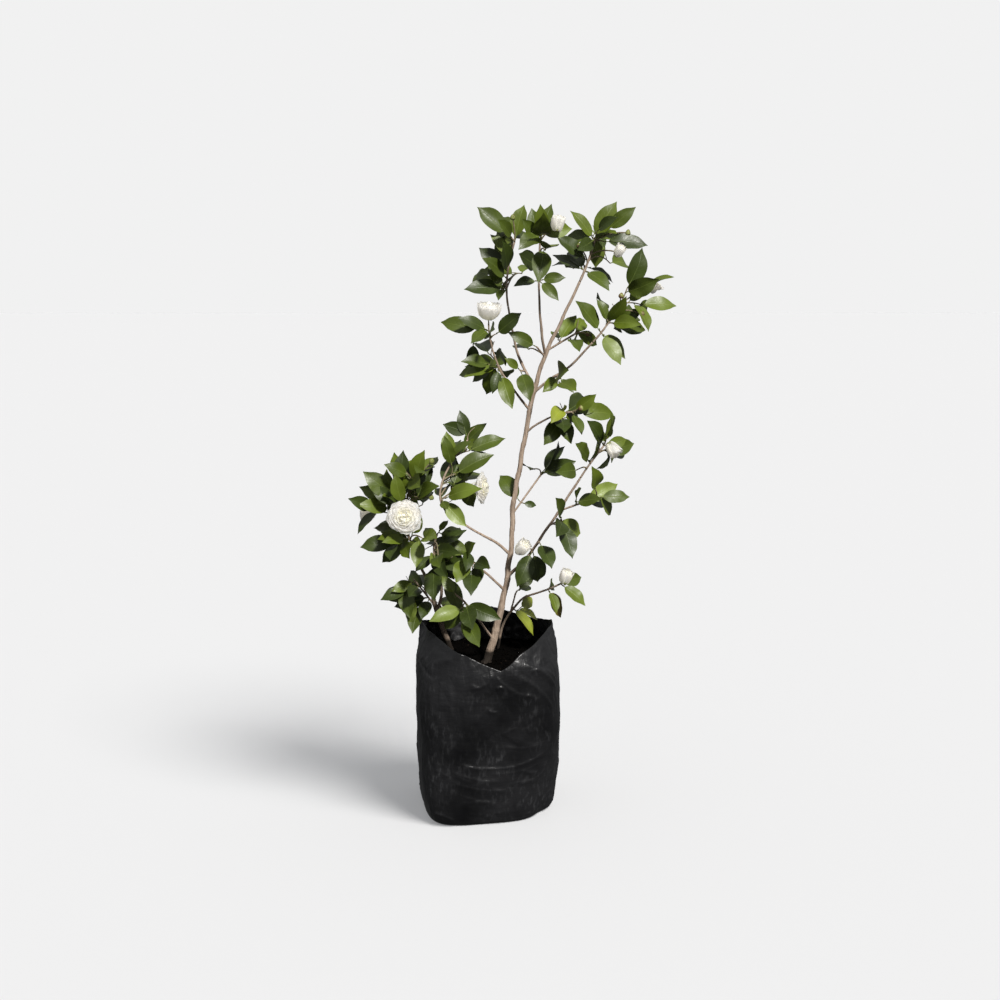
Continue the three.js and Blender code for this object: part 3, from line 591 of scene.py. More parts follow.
def filmMaterial(name, dark, grey, dustAndSheen):
    # black film whose relief is a weighted sum of cells, facets and three noises, stronger in patches
    finish = filmFinish
    material, nodes, shader = newMaterial(name, finish["roughness"], finish["specular"])
    place = nodes.place()
    warpScale, warpDetail, warpShare = finish["warp"]
    warp = nodes.noise(place, warpScale, warpDetail, output="Color")
    bent = nodes.add("Mix", {"Factor": warpShare, 4: place, 5: warp}, data_type="VECTOR").outputs[1]

    def drawn(stretch):
        return nodes.add("Mapping", {"Vector": bent, "Scale": (1.0, 1.0, stretch)}).outputs[0]

    stretch, scale, ridgeWeight = finish["cells"]
    ridges = nodes.ranged(nodes.cells(drawn(stretch), scale, "DISTANCE_TO_EDGE"), finish["ridge"])
    stretch, scale, weight = finish["facets"]
    height = nodes.times(nodes.cells(drawn(stretch), scale), weight)
    height = nodes.timesPlus(ridges, ridgeWeight, height)
    for part in ("sag", "tension", "grain"):
        stretch, scale, detail, weight = finish[part]
        height = nodes.timesPlus(nodes.noise(drawn(stretch), scale, detail), weight, height)
    patches = nodes.mottle(*finish["patches"])
    strength = nodes.timesPlus(patches, *finish["strength"])
    stretch, scale, detail = finish["scuffs"]
    streaks = nodes.ranged(nodes.noise(drawn(stretch), scale, detail), finish["scuffSpan"])
    dustAndSheenPatches = nodes.mottle(*finish["dustAndSheen"])
    scuff = nodes.times(nodes.maths("POWER", dustAndSheenPatches, finish["dustPower"]), streaks)
    rough = nodes.timesPlus(dustAndSheenPatches, *finish["dustRough"])
    nodes.feed(shader, {
        "Base Color": nodes.blend(scuff, nodes.blend(patches, dark, grey), dustAndSheen),
        "Roughness": nodes.timesPlus(scuff, finish["scuffRough"], rough),
        "Normal": nodes.bump(height, strength, finish["depth"]),
    })
    return material


mixFinish = {"roughness": 0.95, "specular": 0.04, "tone": (160.0, 5.0), "bump": (0.9, 0.002)}


def mixMaterial(name, color, lighter):
    material, nodes, shader = newMaterial(name, mixFinish["roughness"], mixFinish["specular"])
    tone = nodes.mottle(*mixFinish["tone"])
    nodes.feed(shader, {
        "Base Color": nodes.blend(tone, color, lighter),
        "Normal": nodes.bump(tone, *mixFinish["bump"]),
    })
    return material


# The grow bag: one film skin carried round from its underside, up over the rim and down inside

growBag = {
    "columns": 396,
    "underRows": 6,
    "wallRows": 176,
    "innerRows": 42,
    "hiddenRows": 5,
    "measured": (200.0, 4001),  # height and count of the points that even out the columns
    "hollow": 0.5,  # how far the middle of the underside lifts
    "underSpan": (0.12, 0.94),  # the underside's rings, as shares of the wall's foot
    "film": 0.9,  # thickness
    "slack": 3.5,  # the hidden part of the inner side stays this far in
    "slackBelow": 12,
    "inside": 4.0,  # height of the inner side's floor
    "showsTo": 16,  # the inner side keeps its relief down to this far below the mix
    "calm": 12,  # the relief fades out towards the ground from this height
    "settle": -2.4,  # sets the middle of the relief on the wall
    "soil": 352,
    "corner": 437,  # height of the rim at its left and right corners
    "dip": (26, 362),  # x and height of the low point in front
    "halfRim": 165.0,
    "rimPower": 0.8,
    "backSag": 18,
    "sagPower": 1.5,
    "rimRipple": (1.4, 21, 8, (30, 80)),  # height, seed, count and lengths of its waves
    "rippleRound": 150,  # radius of the circle that they run round
    "rimDrop": 1.0,
    "turn": 10,  # degrees that the foot is turned
    "footCorners": [(-45, 0.14), (-135, -0.07)],  # angle of a corner, and how far in it is tucked
    "cornerSpread": 28,
    "cornerHeight": 180,  # where the tuck has run out
    "blur": (20.0, 0.8, 9),  # most reach of the smoothing, its share of the height, and its steps
    # height, half width, half depth, squareness (2 is an ellipse)
    "profile": [
        (0, 144, 134, 3.3),
        (9, 154, 145, 3.5),
        (34, 158, 150, 3.7),
        (120, 163, 155, 3.8),
        (230, 165, 157, 3.6),
        (310, 166, 157, 3.2),
        (352, 165, 155, 2.7),
        (395, 160, 146, 2.2),
        (437, 153, 130, 1.8),
    ],
}

# Relief of the film: height, the level that its ridges are measured from, or none for plain waves,
# stretch along the height, then seed, count and lengths of its waves
folds = {
    "broad": (2.2, None, 1.0, 3, 14, (110, 260)),
    "middle": (0.9, None, 1.0, 4, 18, (45, 100)),
    "upright": (0.55, 1.0, 0.25, 5, 16, (24, 60)),
    "crumple": (0.8, 1.0, 1.0, 6, 18, (22, 50)),  # at the free rim and at the foot
    "back": (3.2, 0.6, 0.7, 8, 20, (20, 46)),  # behind, above the mix
}
foldSpans = {
    "tube": 6.28,  # the girth over the radius of the tube that the folds' waves run round
    "held": 0.6,  # strength of the folds against the mix
    "freed": 0.9,  # and how much is added up the free wall
    "freeBelow": 15,  # the wall comes free from this far below the top of the mix
    "foot": (70, 10),  # crumpled more and more between these heights
    "back": (0.22, 0.32),  # shares of the girth away from the front middle
    "backBelow": 30,
}

# Creases that show: from and to as distance round the bag from its front middle and height,
# how far it bows, its height and its width
bigCreases = [
    ((-84, 152), (128, 172), -24, 2.0, 3.6),
    ((-20, 128), (118, 150), -12, 0.8, 3.2),
    ((-96, 134), (20, 104), -6, 0.9, 3.4),
    ((34, 104), (134, 130), -12, 1.0, 3.4),
    ((57, 133), (104, 124), -6, 1.8, 4.5),
    ((20, 188), (104, 186), -4, 1.2, 5.0),
    ((-92, 106), (24, 82), -4, 1.2, 3.6),
    ((-84, 80), (0, 58), -5, 0.9, 3.4),
    ((-78, 60), (6, 50), 4, 1.0, 4.0),
    ((-37, 200), (-37, 76), 5, 2.4, 6.0),
    ((-96, 340), (-102, 150), 6, 1.6, 7.0),
    ((-50, 320), (-58, 200), -4, 1.0, 6.0),
    ((20, 320), (44, 323), 5, 2.6, 3.4),
    ((86, 306), (112, 288), 5, 2.4, 3.6),
    ((-8, 276), (20, 270), -4, 1.8, 3.4),
    ((100, 378), (172, 300), 8, 3.4, 3.4),
    ((116, 366), (176, 322), 6, 2.6, 3.0),
    ((84, 350), (150, 262), 6, 2.4, 3.4),
    ((26, 356), (-60, 322), 8, 1.8, 6.0),
    ((26, 356), (92, 300), -8, 1.7, 6.0),
    ((-150, 30), (-100, 14), 6, 2.4, 4.0),
    ((128, 34), (170, 62), 6, 2.2, 5.0),
]
creaseShape = {"rise": 1.5, "steep": 0.65, "easy": 2.2, "soft": 0.05, "ends": (-0.02, 0.18, 0.82, 1.02)}
smallCreases = {
    "seed": 7,
    "count": 330,
    "length": (14, 80),
    "height": (0.15, 1.0),
    "width": (3.0, 6.5),
    "bow": 0.12,
    "lowest": 4,
    "levelBelow": 200,  # below this they lie nearly level, and above it they stand
    "level": (0.0, 0.35),
    "standing": (1.3, 0.7),
    "freeWall": 0.8,  # how much higher they are above the mix
    "margin": 30,
}


def planAt(height):
    # the profile's rows, run smoothly into each other by averaging over a short stretch of height
    rows = np.array(growBag["profile"], dtype=float)
    most, share, count = growBag["blur"]
    reach = np.minimum(most, share * height)
    steps = np.linspace(-1, 1, count)
    return [
        np.mean([np.interp(height + reach * step, rows[:, 0], rows[:, column]) for step in steps], 0)
        for column in (1, 2, 3)
    ]


def wallPoints(angle, height, inset):
    # a rounded square: x = a |cos|^(2/n), y = b |sin|^(2/n), turned a little towards the foot. Down
    # there each named corner moves in by tuck * exp(-away^2), away being the angle to it in spreads
    halfWidth, halfDepth, squareness = planAt(height)
    power = 2.0 / squareness
    reach = 1.0
    spread = math.sin(math.radians(growBag["cornerSpread"]) / 2)
    for corner, tuck in growBag["footCorners"]:
        away = np.sin((angle - math.radians(corner)) / 2) / spread
        reach = reach - tuck * np.maximum(0.0, 1 - height / growBag["cornerHeight"]) * np.exp(-away ** 2)
    x = (halfWidth - inset) * reach * np.sign(np.cos(angle)) * np.abs(np.cos(angle)) ** power
    y = (halfDepth - inset) * reach * np.sign(np.sin(angle)) * np.abs(np.sin(angle)) ** power
    turn = math.radians(growBag["turn"]) * np.maximum(0.0, 1 - height / growBag["corner"])
    return np.stack([x * np.cos(turn) - y * np.sin(turn), x * np.sin(turn) + y * np.cos(turn), height], -1)


def rimHeight(angle):
    # two corners, a sag at the back and a fall to the low point in front
    corner, (dipX, dipZ), halfRim = growBag["corner"], growBag["dip"], growBag["halfRim"]
    back = corner - growBag["backSag"] * np.abs(np.sin(2 * angle)) ** growBag["sagPower"]
    x = halfRim * np.sign(np.cos(angle)) * np.abs(np.cos(angle)) ** growBag["rimPower"]
    side = np.where(x < dipX, (dipX - x) / (dipX + halfRim), (x - dipX) / (halfRim - dipX))
    front = mix(dipZ, corner, np.minimum(side, 1))
    return np.where(np.sin(angle) >= 0, back, front)


def evenAngles(count):
    # angles that give points at even distances round the bag, the first at its front middle
    height, steps = growBag["measured"]
    dense = np.linspace(-0.5 * math.pi, 1.5 * math.pi, steps)
    points = wallPoints(dense, np.full(dense.shape, height), 0.0)
    lengths = np.concatenate([[0], np.cumsum(np.linalg.norm(np.diff(points, axis=0), axis=1))])
    even = np.arange(count) / count * lengths[-1]
    return np.interp(even, lengths, dense), even, lengths[-1]


def foldRelief(name, places):
    # height * waves, or height * (level - |waves|) for ridges
    height, level, stretch, seed, count, sizes = folds[name]
    swell = waves(places * [1.0, 1.0, stretch], seed, count, sizes)
    return height * (swell if level is None else level - np.abs(swell))


def creaseHeight(place, height, crease):
    # a sharp ridge, steep above and easy below: rise * exp(-distance / width) off a bowed line
    start, end, bow, rise, width = crease
    run = np.array([end[0] - start[0], end[1] - start[1]], dtype=float)
    length = np.hypot(*run)
    run /= length
    share = ((place - start[0]) * run[0] + (height - start[1]) * run[1]) / length
    off = (height - start[1]) * run[0] - (place - start[0]) * run[1]
    off = off - bow * 4 * share * (1 - share)
    before, full, fading, after = creaseShape["ends"]
    fade = smoothStep(before, full, share) * smoothStep(after, fading, share)
    spread = np.where(off > 0, creaseShape["steep"] * width, creaseShape["easy"] * width)
    return creaseShape["rise"] * rise * fade * np.exp(-np.sqrt((off / spread) ** 2 + creaseShape["soft"]))


def smallCreaseRelief(place, height, girth):
    small = smallCreases
    draw = np.random.default_rng(small["seed"])
    total = np.zeros(height.shape)
    for _ in range(small["count"]):
        middle = np.array([
            draw.uniform(-girth / 2, girth / 2), draw.uniform(small["lowest"], growBag["corner"]),
        ])
        length = draw.uniform(*small["length"])
        lie = draw.normal(*small["level" if middle[1] < small["levelBelow"] else "standing"])
        half = 0.5 * length * np.array([math.cos(lie), math.sin(lie)])
        rise = draw.uniform(*small["height"]) * draw.choice([-1, 1, 1])
        rise *= 1 + small["freeWall"] * (middle[1] > growBag["soil"])
        width = draw.uniform(*small["width"])
        near = np.abs(place - middle[0]) < length + small["margin"]
        bow = draw.uniform(-small["bow"], small["bow"]) * length
        ridge = creaseHeight(place, height, (middle - half, middle + half, bow, rise, width))
        total += np.where(near, ridge, 0.0)
    return total


def filmRelief(place, height, girth):
    # place is the distance round the bag, from -girth/2 to girth/2, nought at the front middle.
    # The folds' waves run in space, round a tube of the bag's girth
    turn = place / girth * 2 * math.pi
    tube = girth / foldSpans["tube"]
    around = np.stack([np.cos(turn) * tube, np.sin(turn) * tube, height], -1)
    soil, corner = growBag["soil"], growBag["corner"]
    free = smoothStep(soil - foldSpans["freeBelow"], corner, height)
    foot = smoothStep(*foldSpans["foot"], height)
    strength = foldSpans["held"] + foldSpans["freed"] * free
    total = (foldRelief("broad", around) + foldRelief("middle", around)) * strength
    total += foldRelief("upright", around) + (free + foot) * foldRelief("crumple", around)
    away = smoothStep(*foldSpans["back"], np.abs(place) / girth)
    above = smoothStep(soil - foldSpans["backBelow"], soil, height)
    total += away * above * foldRelief("back", around)
    for crease in bigCreases:
        total += creaseHeight(place, height, crease)
    return total + smallCreaseRelief(place, height, girth) + growBag["settle"]


def outwardNormals(points):
    # level, square to each ring of points
    along = np.roll(points, -1, axis=1) - np.roll(points, 1, axis=1)
    return unit(np.stack([along[..., 1], -along[..., 0], np.zeros(along.shape[:2])], -1))


def filmSide(angle, place, girth, height, inset, calm=1.0):
    # one side of the film: the bag's wall, moved out by the relief
    points = wallPoints(angle + 0 * height, height, inset)
    relief = filmRelief(place + 0 * height, height, girth) * calm
    return points + outwardNormals(points) * relief[..., None]


def makeGrowBag():
    settings = growBag
    angle, place, girth = evenAngles(settings["columns"])
    place = np.where(place > girth / 2, place - girth, place)
    ripple, *ripples = settings["rimRipple"]
    circle = np.stack([np.cos(angle), np.sin(angle)], -1) * settings["rippleRound"]
    rim = rimHeight(angle) + ripple * waves(circle, *ripples) - settings["rimDrop"]
    wall = np.linspace(0.0, 1.0, settings["wallRows"])[:, None] * rim
    outer = filmSide(angle, place, girth, wall, 0.0, smoothStep(0.0, settings["calm"], wall))
    under = []
    for share in np.linspace(*settings["underSpan"], settings["underRows"]):
        ring = outer[0] * share
        ring[:, 2] = settings["hollow"] * (1 - share)
        under.append(ring)
    # inside, the film keeps its thickness down to below the mix, then slackens out of sight
    low = settings["soil"] - settings["showsTo"]
    inner = mix(rim, low, np.linspace(0.0, 1.0, settings["innerRows"])[:, None])
    innerSide = filmSide(angle, place, girth, inner, settings["film"])
    inside = settings["inside"]
    hidden = np.linspace(low - settings["slackBelow"], inside, settings["hiddenRows"])[:, None] + 0 * angle
    lining = wallPoints(angle + 0 * hidden, hidden, settings["film"] + settings["slack"])
    rings = np.concatenate([np.stack(under), outer, innerSide, lining])[None]
    poles = np.array([[[0, 0, settings["hollow"]], [0, 0, inside]]])
    pile = Pile("growBagFilm", "film", [
        filmMaterial("blackFilm", (0.0018, 0.0018, 0.0021), (0.0195, 0.0196, 0.0212), (0.062, 0.063, 0.067)),
        # painted sheen: the inner film's dark, grey and scuff colours are all lifted well above the outer
        # film's
        filmMaterial("sheenPaintedFilm", (0.006, 0.006, 0.007), (0.062, 0.062, 0.065), (0.22, 0.22, 0.225)),
    ])
    # the side that faces inwards is painted paler all over, a painted sheen standing in for the highlights on
    # its crumpled film
    bands = np.arange(rings.shape[1] + 1) > settings["underRows"] + settings["wallRows"]
    pile.add(rings, poles, np.repeat(bands.astype(int), settings["columns"])[None])
    pile.build("grow_bag")


# The potting mix: a rough bed inside the film, with bark chips scattered over it

bed = {
    "columns": 120,
    "rings": 34,
    "levels": (4.0, 60.0, 180.0, 300.0, 340.0),
    "span": (1.0, 0.03),  # from the wall in to the innermost ring
    "inset": 6.5,
    "below": 1.5,
    # height, seed, count and lengths of its waves
    "rough": [(3.0, 32, 16, (25, 110)), (0.9, 33, 14, (6, 16))],
}
chip = {
    "seed": 31,
    "count": 1500,
    "size": (1.8, 6.5),
    "smaller": (0.5, 1.0),
    "reach": 0.97,
    "inset": 3,
    "lift": 0.6,
    "flat": (1, 1, 0.35),
    "ends": (-0.8, 0.0, 0.8),
    "girths": (0.35, 0.5, 0.32),
    "uneven": (0.6, 1.3),
    "around": 5,
    "pale": 0.06,  # share of the chips
}


def bedHeight(points):
    height = growBag["soil"] - bed["below"]
    for rough, seed, count, sizes in bed["rough"]:
        height = height + rough * waves(points[..., :2], seed, count, sizes)
    return height


def soilLine(angle, inset):
    return wallPoints(angle, np.full(angle.shape, float(growBag["soil"])), inset)


def makeMix():
    angle = evenAngles(bed["columns"])[0]
    levels = np.array(bed["levels"])[:, None] + 0 * angle
    side = wallPoints(angle + 0 * levels, levels, bed["inset"])
    top = soilLine(angle, bed["inset"]) * np.linspace(*bed["span"], bed["rings"])[:, None, None]
    top[..., 2] = bedHeight(top)
    poles = np.array([[[0, 0, bed["levels"][0]], [0, 0, growBag["soil"]]]])
    # the mix is coloured near black: its own dark peat tone, darkened further as painted shade
    darkMix = mixMaterial("pottingMix", (0.0005, 0.0004, 0.0003), (0.0024, 0.0019, 0.0015))
    pile = Pile("pottingMixBed", "potting_mix", [darkMix])
    pile.add(np.concatenate([side, top])[None], poles)
    pile.build("potting_mix")


def makeChips():
    # small five-sided lumps, each stretched and turned its own way
    draw = np.random.default_rng(chip["seed"])
    count, around = chip["count"], chip["around"]
    turn = draw.uniform(0, fullTurn, count)
    reach = np.sqrt(draw.uniform(0, 1, count)) * chip["reach"]
    spots = soilLine(turn, bed["inset"] + chip["inset"]) * reach[:, None]
    spots[:, 2] = bedHeight(spots) + chip["lift"]
    sizes = draw.uniform(*chip["size"], count) * draw.uniform(*chip["smaller"], count)
    sizes = sizes[:, None, None]
    axis = unit(draw.normal(size=(count, 3)) * chip["flat"])
    lines = spots[:, None] + axis[:, None] * np.array(chip["ends"])[None, :, None] * sizes
    girths = np.array(chip["girths"])[None, :, None]
    radii = sizes * girths * draw.uniform(*chip["uneven"], (count, girths.shape[1], around))
    # the chips are darkened the same way: their own tones, with painted shade added
    chips = Pile("mixChips", "potting_mix", [
        mixMaterial("darkChips", (0.0007, 0.0005, 0.0004), (0.0030, 0.0022, 0.0017)),
        mixMaterial("paleChips", (0.005, 0.0036, 0.0025), (0.015, 0.011, 0.0075)),
    ])
    pale = (draw.uniform(size=count) < chip["pale"]).astype(int)
    chips.add(carriedRings(lines, radii, around), slots=pale[:, None])
    chips.build()


# Limbs: x, y, z and radius at each bend, the same as the solids'. A bough also names the limb that
# carries it and the height where it leaves it

clearance = 0.3
stemFoot = growBag["soil"] + clearance
limbs, masses = {}, {}


def addLimb(name, path, on=None, at=None):
    limbs[name] = {"path": path, "on": on, "at": at}


addLimb("trunk", [
    [-2, -50, stemFoot, 13], [4, -50, 368, 9.6], [23, -48, 436, 7.8], [44, -42, 535, 6.3],
    [56, -35, 630, 5.5], [60, -30, 713, 5.6], [79, -20, 825, 5.1], [97, -10, 925, 5.2],
    [109, -5, 976, 4.9], [132, 0, 1048, 4.3], [169, 8, 1125, 3.4], [206, 14, 1204, 2.9],
])
addLimb("left_stem", [
    [-86, 53, stemFoot, 8.5], [-90, 51, 366, 7.2], [-108, 40, 419, 6.4], [-121, 27, 469, 5.4],
    [-125, 21, 492, 4.8],
])
addLimb("right_stem", [
    [25, 62, stemFoot, 3.6], [38, 42, 417, 2.7], [80, 6, 484, 2.4], [128, -24, 512, 2.1],
])
addLimb("bough_upper_middle", [[120, -25, 1100, 2.8], [115, -44, 1176, 2.3]], "trunk", 1044)
addLimb("bough_upper_left", [[80, 10, 1021, 2.9], [63, 20, 1069, 2.6], [48, 25, 1150, 2.2]], "trunk", 972)
addLimb("bough_left", [[70, -18, 955, 2.6], [44, -25, 991, 2.3]], "trunk", 922)
addLimb("bough_right", [[140, -14, 990, 2.8], [186, -28, 1024, 2.5], [232, -45, 1074, 2.2]], "trunk", 962)
addLimb("bough_right_middle", [[108, -24, 890, 2.4], [134, -38, 906, 2.2]], "trunk", 872)
addLimb("bough_lower_right", [
    [93, -55, 600, 3.2], [141, -70, 676, 2.9], [184, -80, 745, 2.6], [206, -83, 781, 2.4],
], "trunk", 548)
addLimb("bough_left_upper", [
    [20, -42, 628, 2.9], [-30, -46, 658, 2.6], [-79, -50, 692, 2.3],
], "trunk", 600)
addLimb("bough_left_lower", [[10, -60, 552, 2.7], [-23, -75, 583, 2.3]], "trunk", 518)
addLimb("shoot_low_left", [[-14, -70, 450, 2.4], [-41, -90, 494, 2.1]], "trunk", 406)
addLimb("fork_outer", [[-146, 14, 545, 3.2], [-166, 6, 598, 2.6]], "left_stem", 484)
addLimb("fork_inner", [[-104, 18, 505, 3.3], [-118, 8, 575, 2.7]], "left_stem", 448)

# Masses of foliage: the limb that carries each, its seed, where its stem ends and its sprays. Each leafy
# spray is named by the point that its end leaf reaches


def leafy(x, y, z, leaves=1, tone=None):
    return {"tip": [x, y, z], "leaves": leaves, "tone": tone}


def flower(kind, at, face, radius, leaves=0):
    face = unit(np.array(face, dtype=float))
    return {"tip": at, "leaves": leaves, "flower": {"kind": kind, "face": face, "radius": radius}}


def bud(x, y, z):
    return flower("bud", [x, y, z], [0.2, -0.2, 1], 8)


def addMass(place, on, seed, stem, sprays, at=None):
    masses["foliage_" + place] = {"on": on, "seed": seed, "stem": stem, "sprays": sprays, "at": at}


addMass("top_left", "bough_upper_left", 11, [62, 16, 1290], [
    leafy(-20, 20, 1366, 2), leafy(84, 30, 1372, 2), leafy(10, 15, 1308, 2), leafy(-16, 40, 1280),
    leafy(-4, -30, 1258), leafy(-50, 0, 1192, 2), leafy(26, -30, 1168), leafy(28, 230, 1332, 1),
    leafy(102, 212, 1240, 2), leafy(-31, 187, 1214, 2), bud(58, 0, 1345),
])
addMass("top_middle", "bough_upper_middle", 23, [116, -58, 1290], [
    leafy(140, -50, 1371, 1), leafy(119, -159, 1347, 1), leafy(60, -72, 1196), leafy(158, -75, 1166),
    leafy(172, -60, 1215), leafy(76, -90, 1336, 1), leafy(133, -216, 1279, 2), leafy(69, -148, 1262),
    flower("half", [153, -84, 1329], [0.15, -0.1, 1], 20, 1),
])
addMass("top_right", "trunk", 37, [238, 16, 1292], [
    leafy(182, 10, 1357, 2), leafy(281, 14, 1380, 2), leafy(325, 0, 1366, 1), leafy(356, 20, 1284),
    leafy(154, 0, 1306), leafy(145, 30, 1262), leafy(268, -40, 1188), leafy(277, 30, 1198, 1),
    leafy(257, 255, 1312, 1), leafy(184, 221, 1235, 1), leafy(327, 187, 1240, 1),
    flower("half", [290, -22, 1272], [0.45, -0.3, 0.8], 16), bud(308, -20, 1312), bud(203, -5, 1284),
])
addMass("far_right", "bough_right", 41, [290, -52, 1156], [
    leafy(342, -40, 1277, 1), leafy(416, -30, 1156, 3), leafy(292, -85, 1030, 1), leafy(192, -70, 1166),
    leafy(242, -50, 1170), leafy(352, -20, 1098, 2), leafy(342, 162, 1127, 1), leafy(254, 128, 1169, 2),
    flower("open", [368, -15, 1199], [0.25, -0.15, 1], 26, 1), bud(338, -62, 1138), bud(290, -80, 1178),
])
addMass("leader", "trunk", 53, [200, -14, 1094], [
    leafy(204, -96, 1062, 0), leafy(215, 40, 1122, 2), leafy(171, 144, 1082, 1), bud(224, -26, 1094),
], at=1054)
addMass("node", "trunk", 59, [112, -22, 1062], [
    leafy(48, -40, 1097, 0), leafy(65, 144, 1058, 1),
], at=1040)
addMass("fork_right", "bough_right", 61, [158, -40, 1000], [
    leafy(191, -62, 966, 1), leafy(122, -75, 968, 0), leafy(174, -148, 1021),
], at=996)
addMass("fork_left", "bough_upper_left", 67, [76, -12, 1010], [
    leafy(40, -30, 1040, 0), leafy(96, -72, 948, 1),
], at=1008)
addMass("left_upper", "bough_left", 71, [6, -40, 1098], [
    flower("cup", [6, -45, 1149], [0.05, -0.15, 1], 29), leafy(-102, -15, 1115, 1),
    leafy(-60, -70, 1130), leafy(78, -85, 1138, 0), leafy(-50, -55, 1004), leafy(-24, 20, 1036, 1),
    leafy(20, -142, 1110), leafy(14, -50, 962, 1), leafy(58, -78, 932, 0), leafy(-21, 144, 1067, 0),
    leafy(50, 119, 981, 0),
])
addMass("right_middle", "bough_right_middle", 83, [188, -62, 924], [
    leafy(169, -85, 942, 1, "yellow"), leafy(241, -78, 963, 1), leafy(284, -12, 914, 1),
    leafy(188, -75, 856), leafy(205, -110, 880, 0), leafy(225, 35, 945, 2), leafy(160, 45, 905, 1),
    bud(206, -78, 936),
])
addMass("right", "bough_lower_right", 97, [256, -86, 852], [
    leafy(190, -159, 870, 1), leafy(220, -135, 916), leafy(266, -173, 933, 1), leafy(310, -60, 862),
    flower("half", [277, -98, 846], [0.6, -0.35, -0.7], 20), leafy(240, 40, 880, 1),
    leafy(310, 30, 830, 1), leafy(148, -176, 807),
])
addMass("right_low", "bough_lower_right", 101, [244, -84, 738], [
    leafy(317, -72, 736, 1), leafy(229, -162, 818), leafy(193, -189, 773), leafy(260, 10, 720, 1),
], at=706)
addMass("lower_right", "bough_lower_right", 103, [164, -96, 690], [
    leafy(150, -162, 752), leafy(150, -176, 669), leafy(190, -148, 615), leafy(215, -30, 650, 1),
], at=672)
addMass("lower_inner", "bough_lower_right", 107, [116, -92, 640], [
    leafy(144, -151, 593), flower("half", [80, -92, 628], [0.55, -0.45, 0.7], 21),
    leafy(66, -96, 540, 0), leafy(116, -40, 534, 1),
], at=606)
addMass("trunk_right", "trunk", 109, [122, 14, 772], [
    leafy(160, -30, 858, 1), leafy(28, 28, 770, 0), leafy(112, -10, 706), leafy(177, 102, 784, 1),
    leafy(81, 187, 768, 0),
], at=692)
addMass("left_inner", "bough_left_upper", 113, [-42, -18, 856], [
    leafy(-59, -10, 923, 0), leafy(-89, -15, 876, 0), leafy(42, -15, 863, 0), leafy(18, -32, 824, 0),
    leafy(-12, -90, 764, 0), leafy(-70, 10, 815, 0), leafy(-42, -75, 672), leafy(-84, -95, 712),
    flower("open", [-6, -44, 753], [1, -0.3, 0.05], 40), leafy(-11, 128, 762, 2),
    leafy(-72, 136, 833, 1), leafy(-90, 40, 740, 1),
])
addMass("left_outer", "fork_outer", 127, [-186, 0, 700], [
    flower("open", [-181, -88, 695], [-0.12, -1, 0.12], 43), leafy(-274, -20, 788, 1),
    flower("open", [-276, 55, 683], [-0.7, 0.5, 0.15], 33), leafy(-188, 0, 831, 1),
    leafy(-136, -45, 837, 1), leafy(-215, -80, 738), leafy(-288, 20, 748, 1), leafy(-288, -10, 612, 1),
    leafy(-120, 20, 802, 1), leafy(-206, 212, 736, 1), leafy(-262, 187, 625, 2),
    leafy(-134, 187, 707, 2), leafy(-146, -64, 618), leafy(-104, -148, 660, 0), leafy(-106, -92, 768),
    bud(-122, -25, 812), bud(-121, -72, 738), leafy(-245, -60, 640, 1),
])
addMass("left_lower", "fork_inner", 131, [-112, -6, 640], [
    leafy(-60, -62, 606), leafy(-118, -70, 500), leafy(-54, -62, 470, 0), leafy(-96, -173, 600, 0),
    leafy(-50, -40, 562), leafy(-61, 119, 630, 2), leafy(-134, 170, 596, 2), leafy(-50, 40, 560, 1),
    leafy(-86, 10, 668, 1), leafy(-160, -40, 560, 0),
])
addMass("left_low", "left_stem", 137, [-168, 8, 532], [
    leafy(-217, -25, 512, 1), leafy(-215, 20, 464), leafy(-175, -70, 510, 1), leafy(-164, 170, 504, 1),
    leafy(-150, -40, 450, 0),
], at=462)
addMass("left_foot", "left_stem", 139, [-98, 12, 470], [
    leafy(-62, 5, 428, 1), leafy(-72, 119, 468, 1),
], at=440)
addMass("centre_left", "bough_left_lower", 149, [-44, -88, 606], [
    leafy(-35, -169, 535), leafy(-21, -148, 648, 0), leafy(-66, -150, 562, 1), leafy(10, -162, 600, 0),
])
addMass("low_left", "shoot_low_left", 151, [-66, -98, 520], [
    leafy(-27, -165, 460), leafy(-100, -80, 560, 0), leafy(-95, -90, 440, 1),
])
addMass("low_right", "right_stem", 157, [166, -46, 534], [
    flower("half", [178, -55, 553], [0.3, -0.2, 0.95], 20), leafy(223, -62, 488), leafy(158, -62, 470),
    leafy(150, 40, 520, 2), leafy(215, 0, 540, 1),
])
addMass("right_foot", "right_stem", 163, [66, 40, 490], [
    leafy(110, 10, 400, 0, "yellow"), leafy(96, 153, 485, 1),
], at=448)

twig = {
    "stemSteps": 4,
    "twigSteps": 2,
    "limbSteps": 2,
    "stemRadius": 2.2,
    "sideShare": 0.8,
    "bendFirst": 0.45,
    "aim": 0.6,
    "branchBack": 0.3,
    "firstBranch": 0.3,
    "flowerSeat": 0.35,
    "gap": 4,
    "limbGap": 3,
    "footSwell": 1.15,
    "footShare": 0.85,
}

leaf = {
    "length": 85,
    "endLength": (0.9, 1.14),
    "sideLength": (0.76, 1.04),
    "leastTwig": 6,
    "halfWidth": 0.235,
    "widthRange": (0.86, 1.12),
    "arch": 0.07,
    "archRange": (0.2, 1.6),
    "fold": 0.2,
    "lastSeat": 0.4,
    "seatSpan": 0.85,
    "spread": (46, 70),
    "turnEach": 137.5,
    "turnWander": 40,
    "droop": 0.14,
    "endWander": 0.45,
    "sideWander": 0.9,
    "apart": 0.34,
    "gap": 3,
    "limbGap": 7,
    "tested": (0.25, 0.4, 0.57, 0.74, 0.88),
    "outline": 0.85,  # power of the plain outline that is tested
    "light": np.array([0.3, -0.78, 0.46]),  # the side that the leaves turn to
    "outward": 0.45,
    "leanOfCrown": 0.26,
}


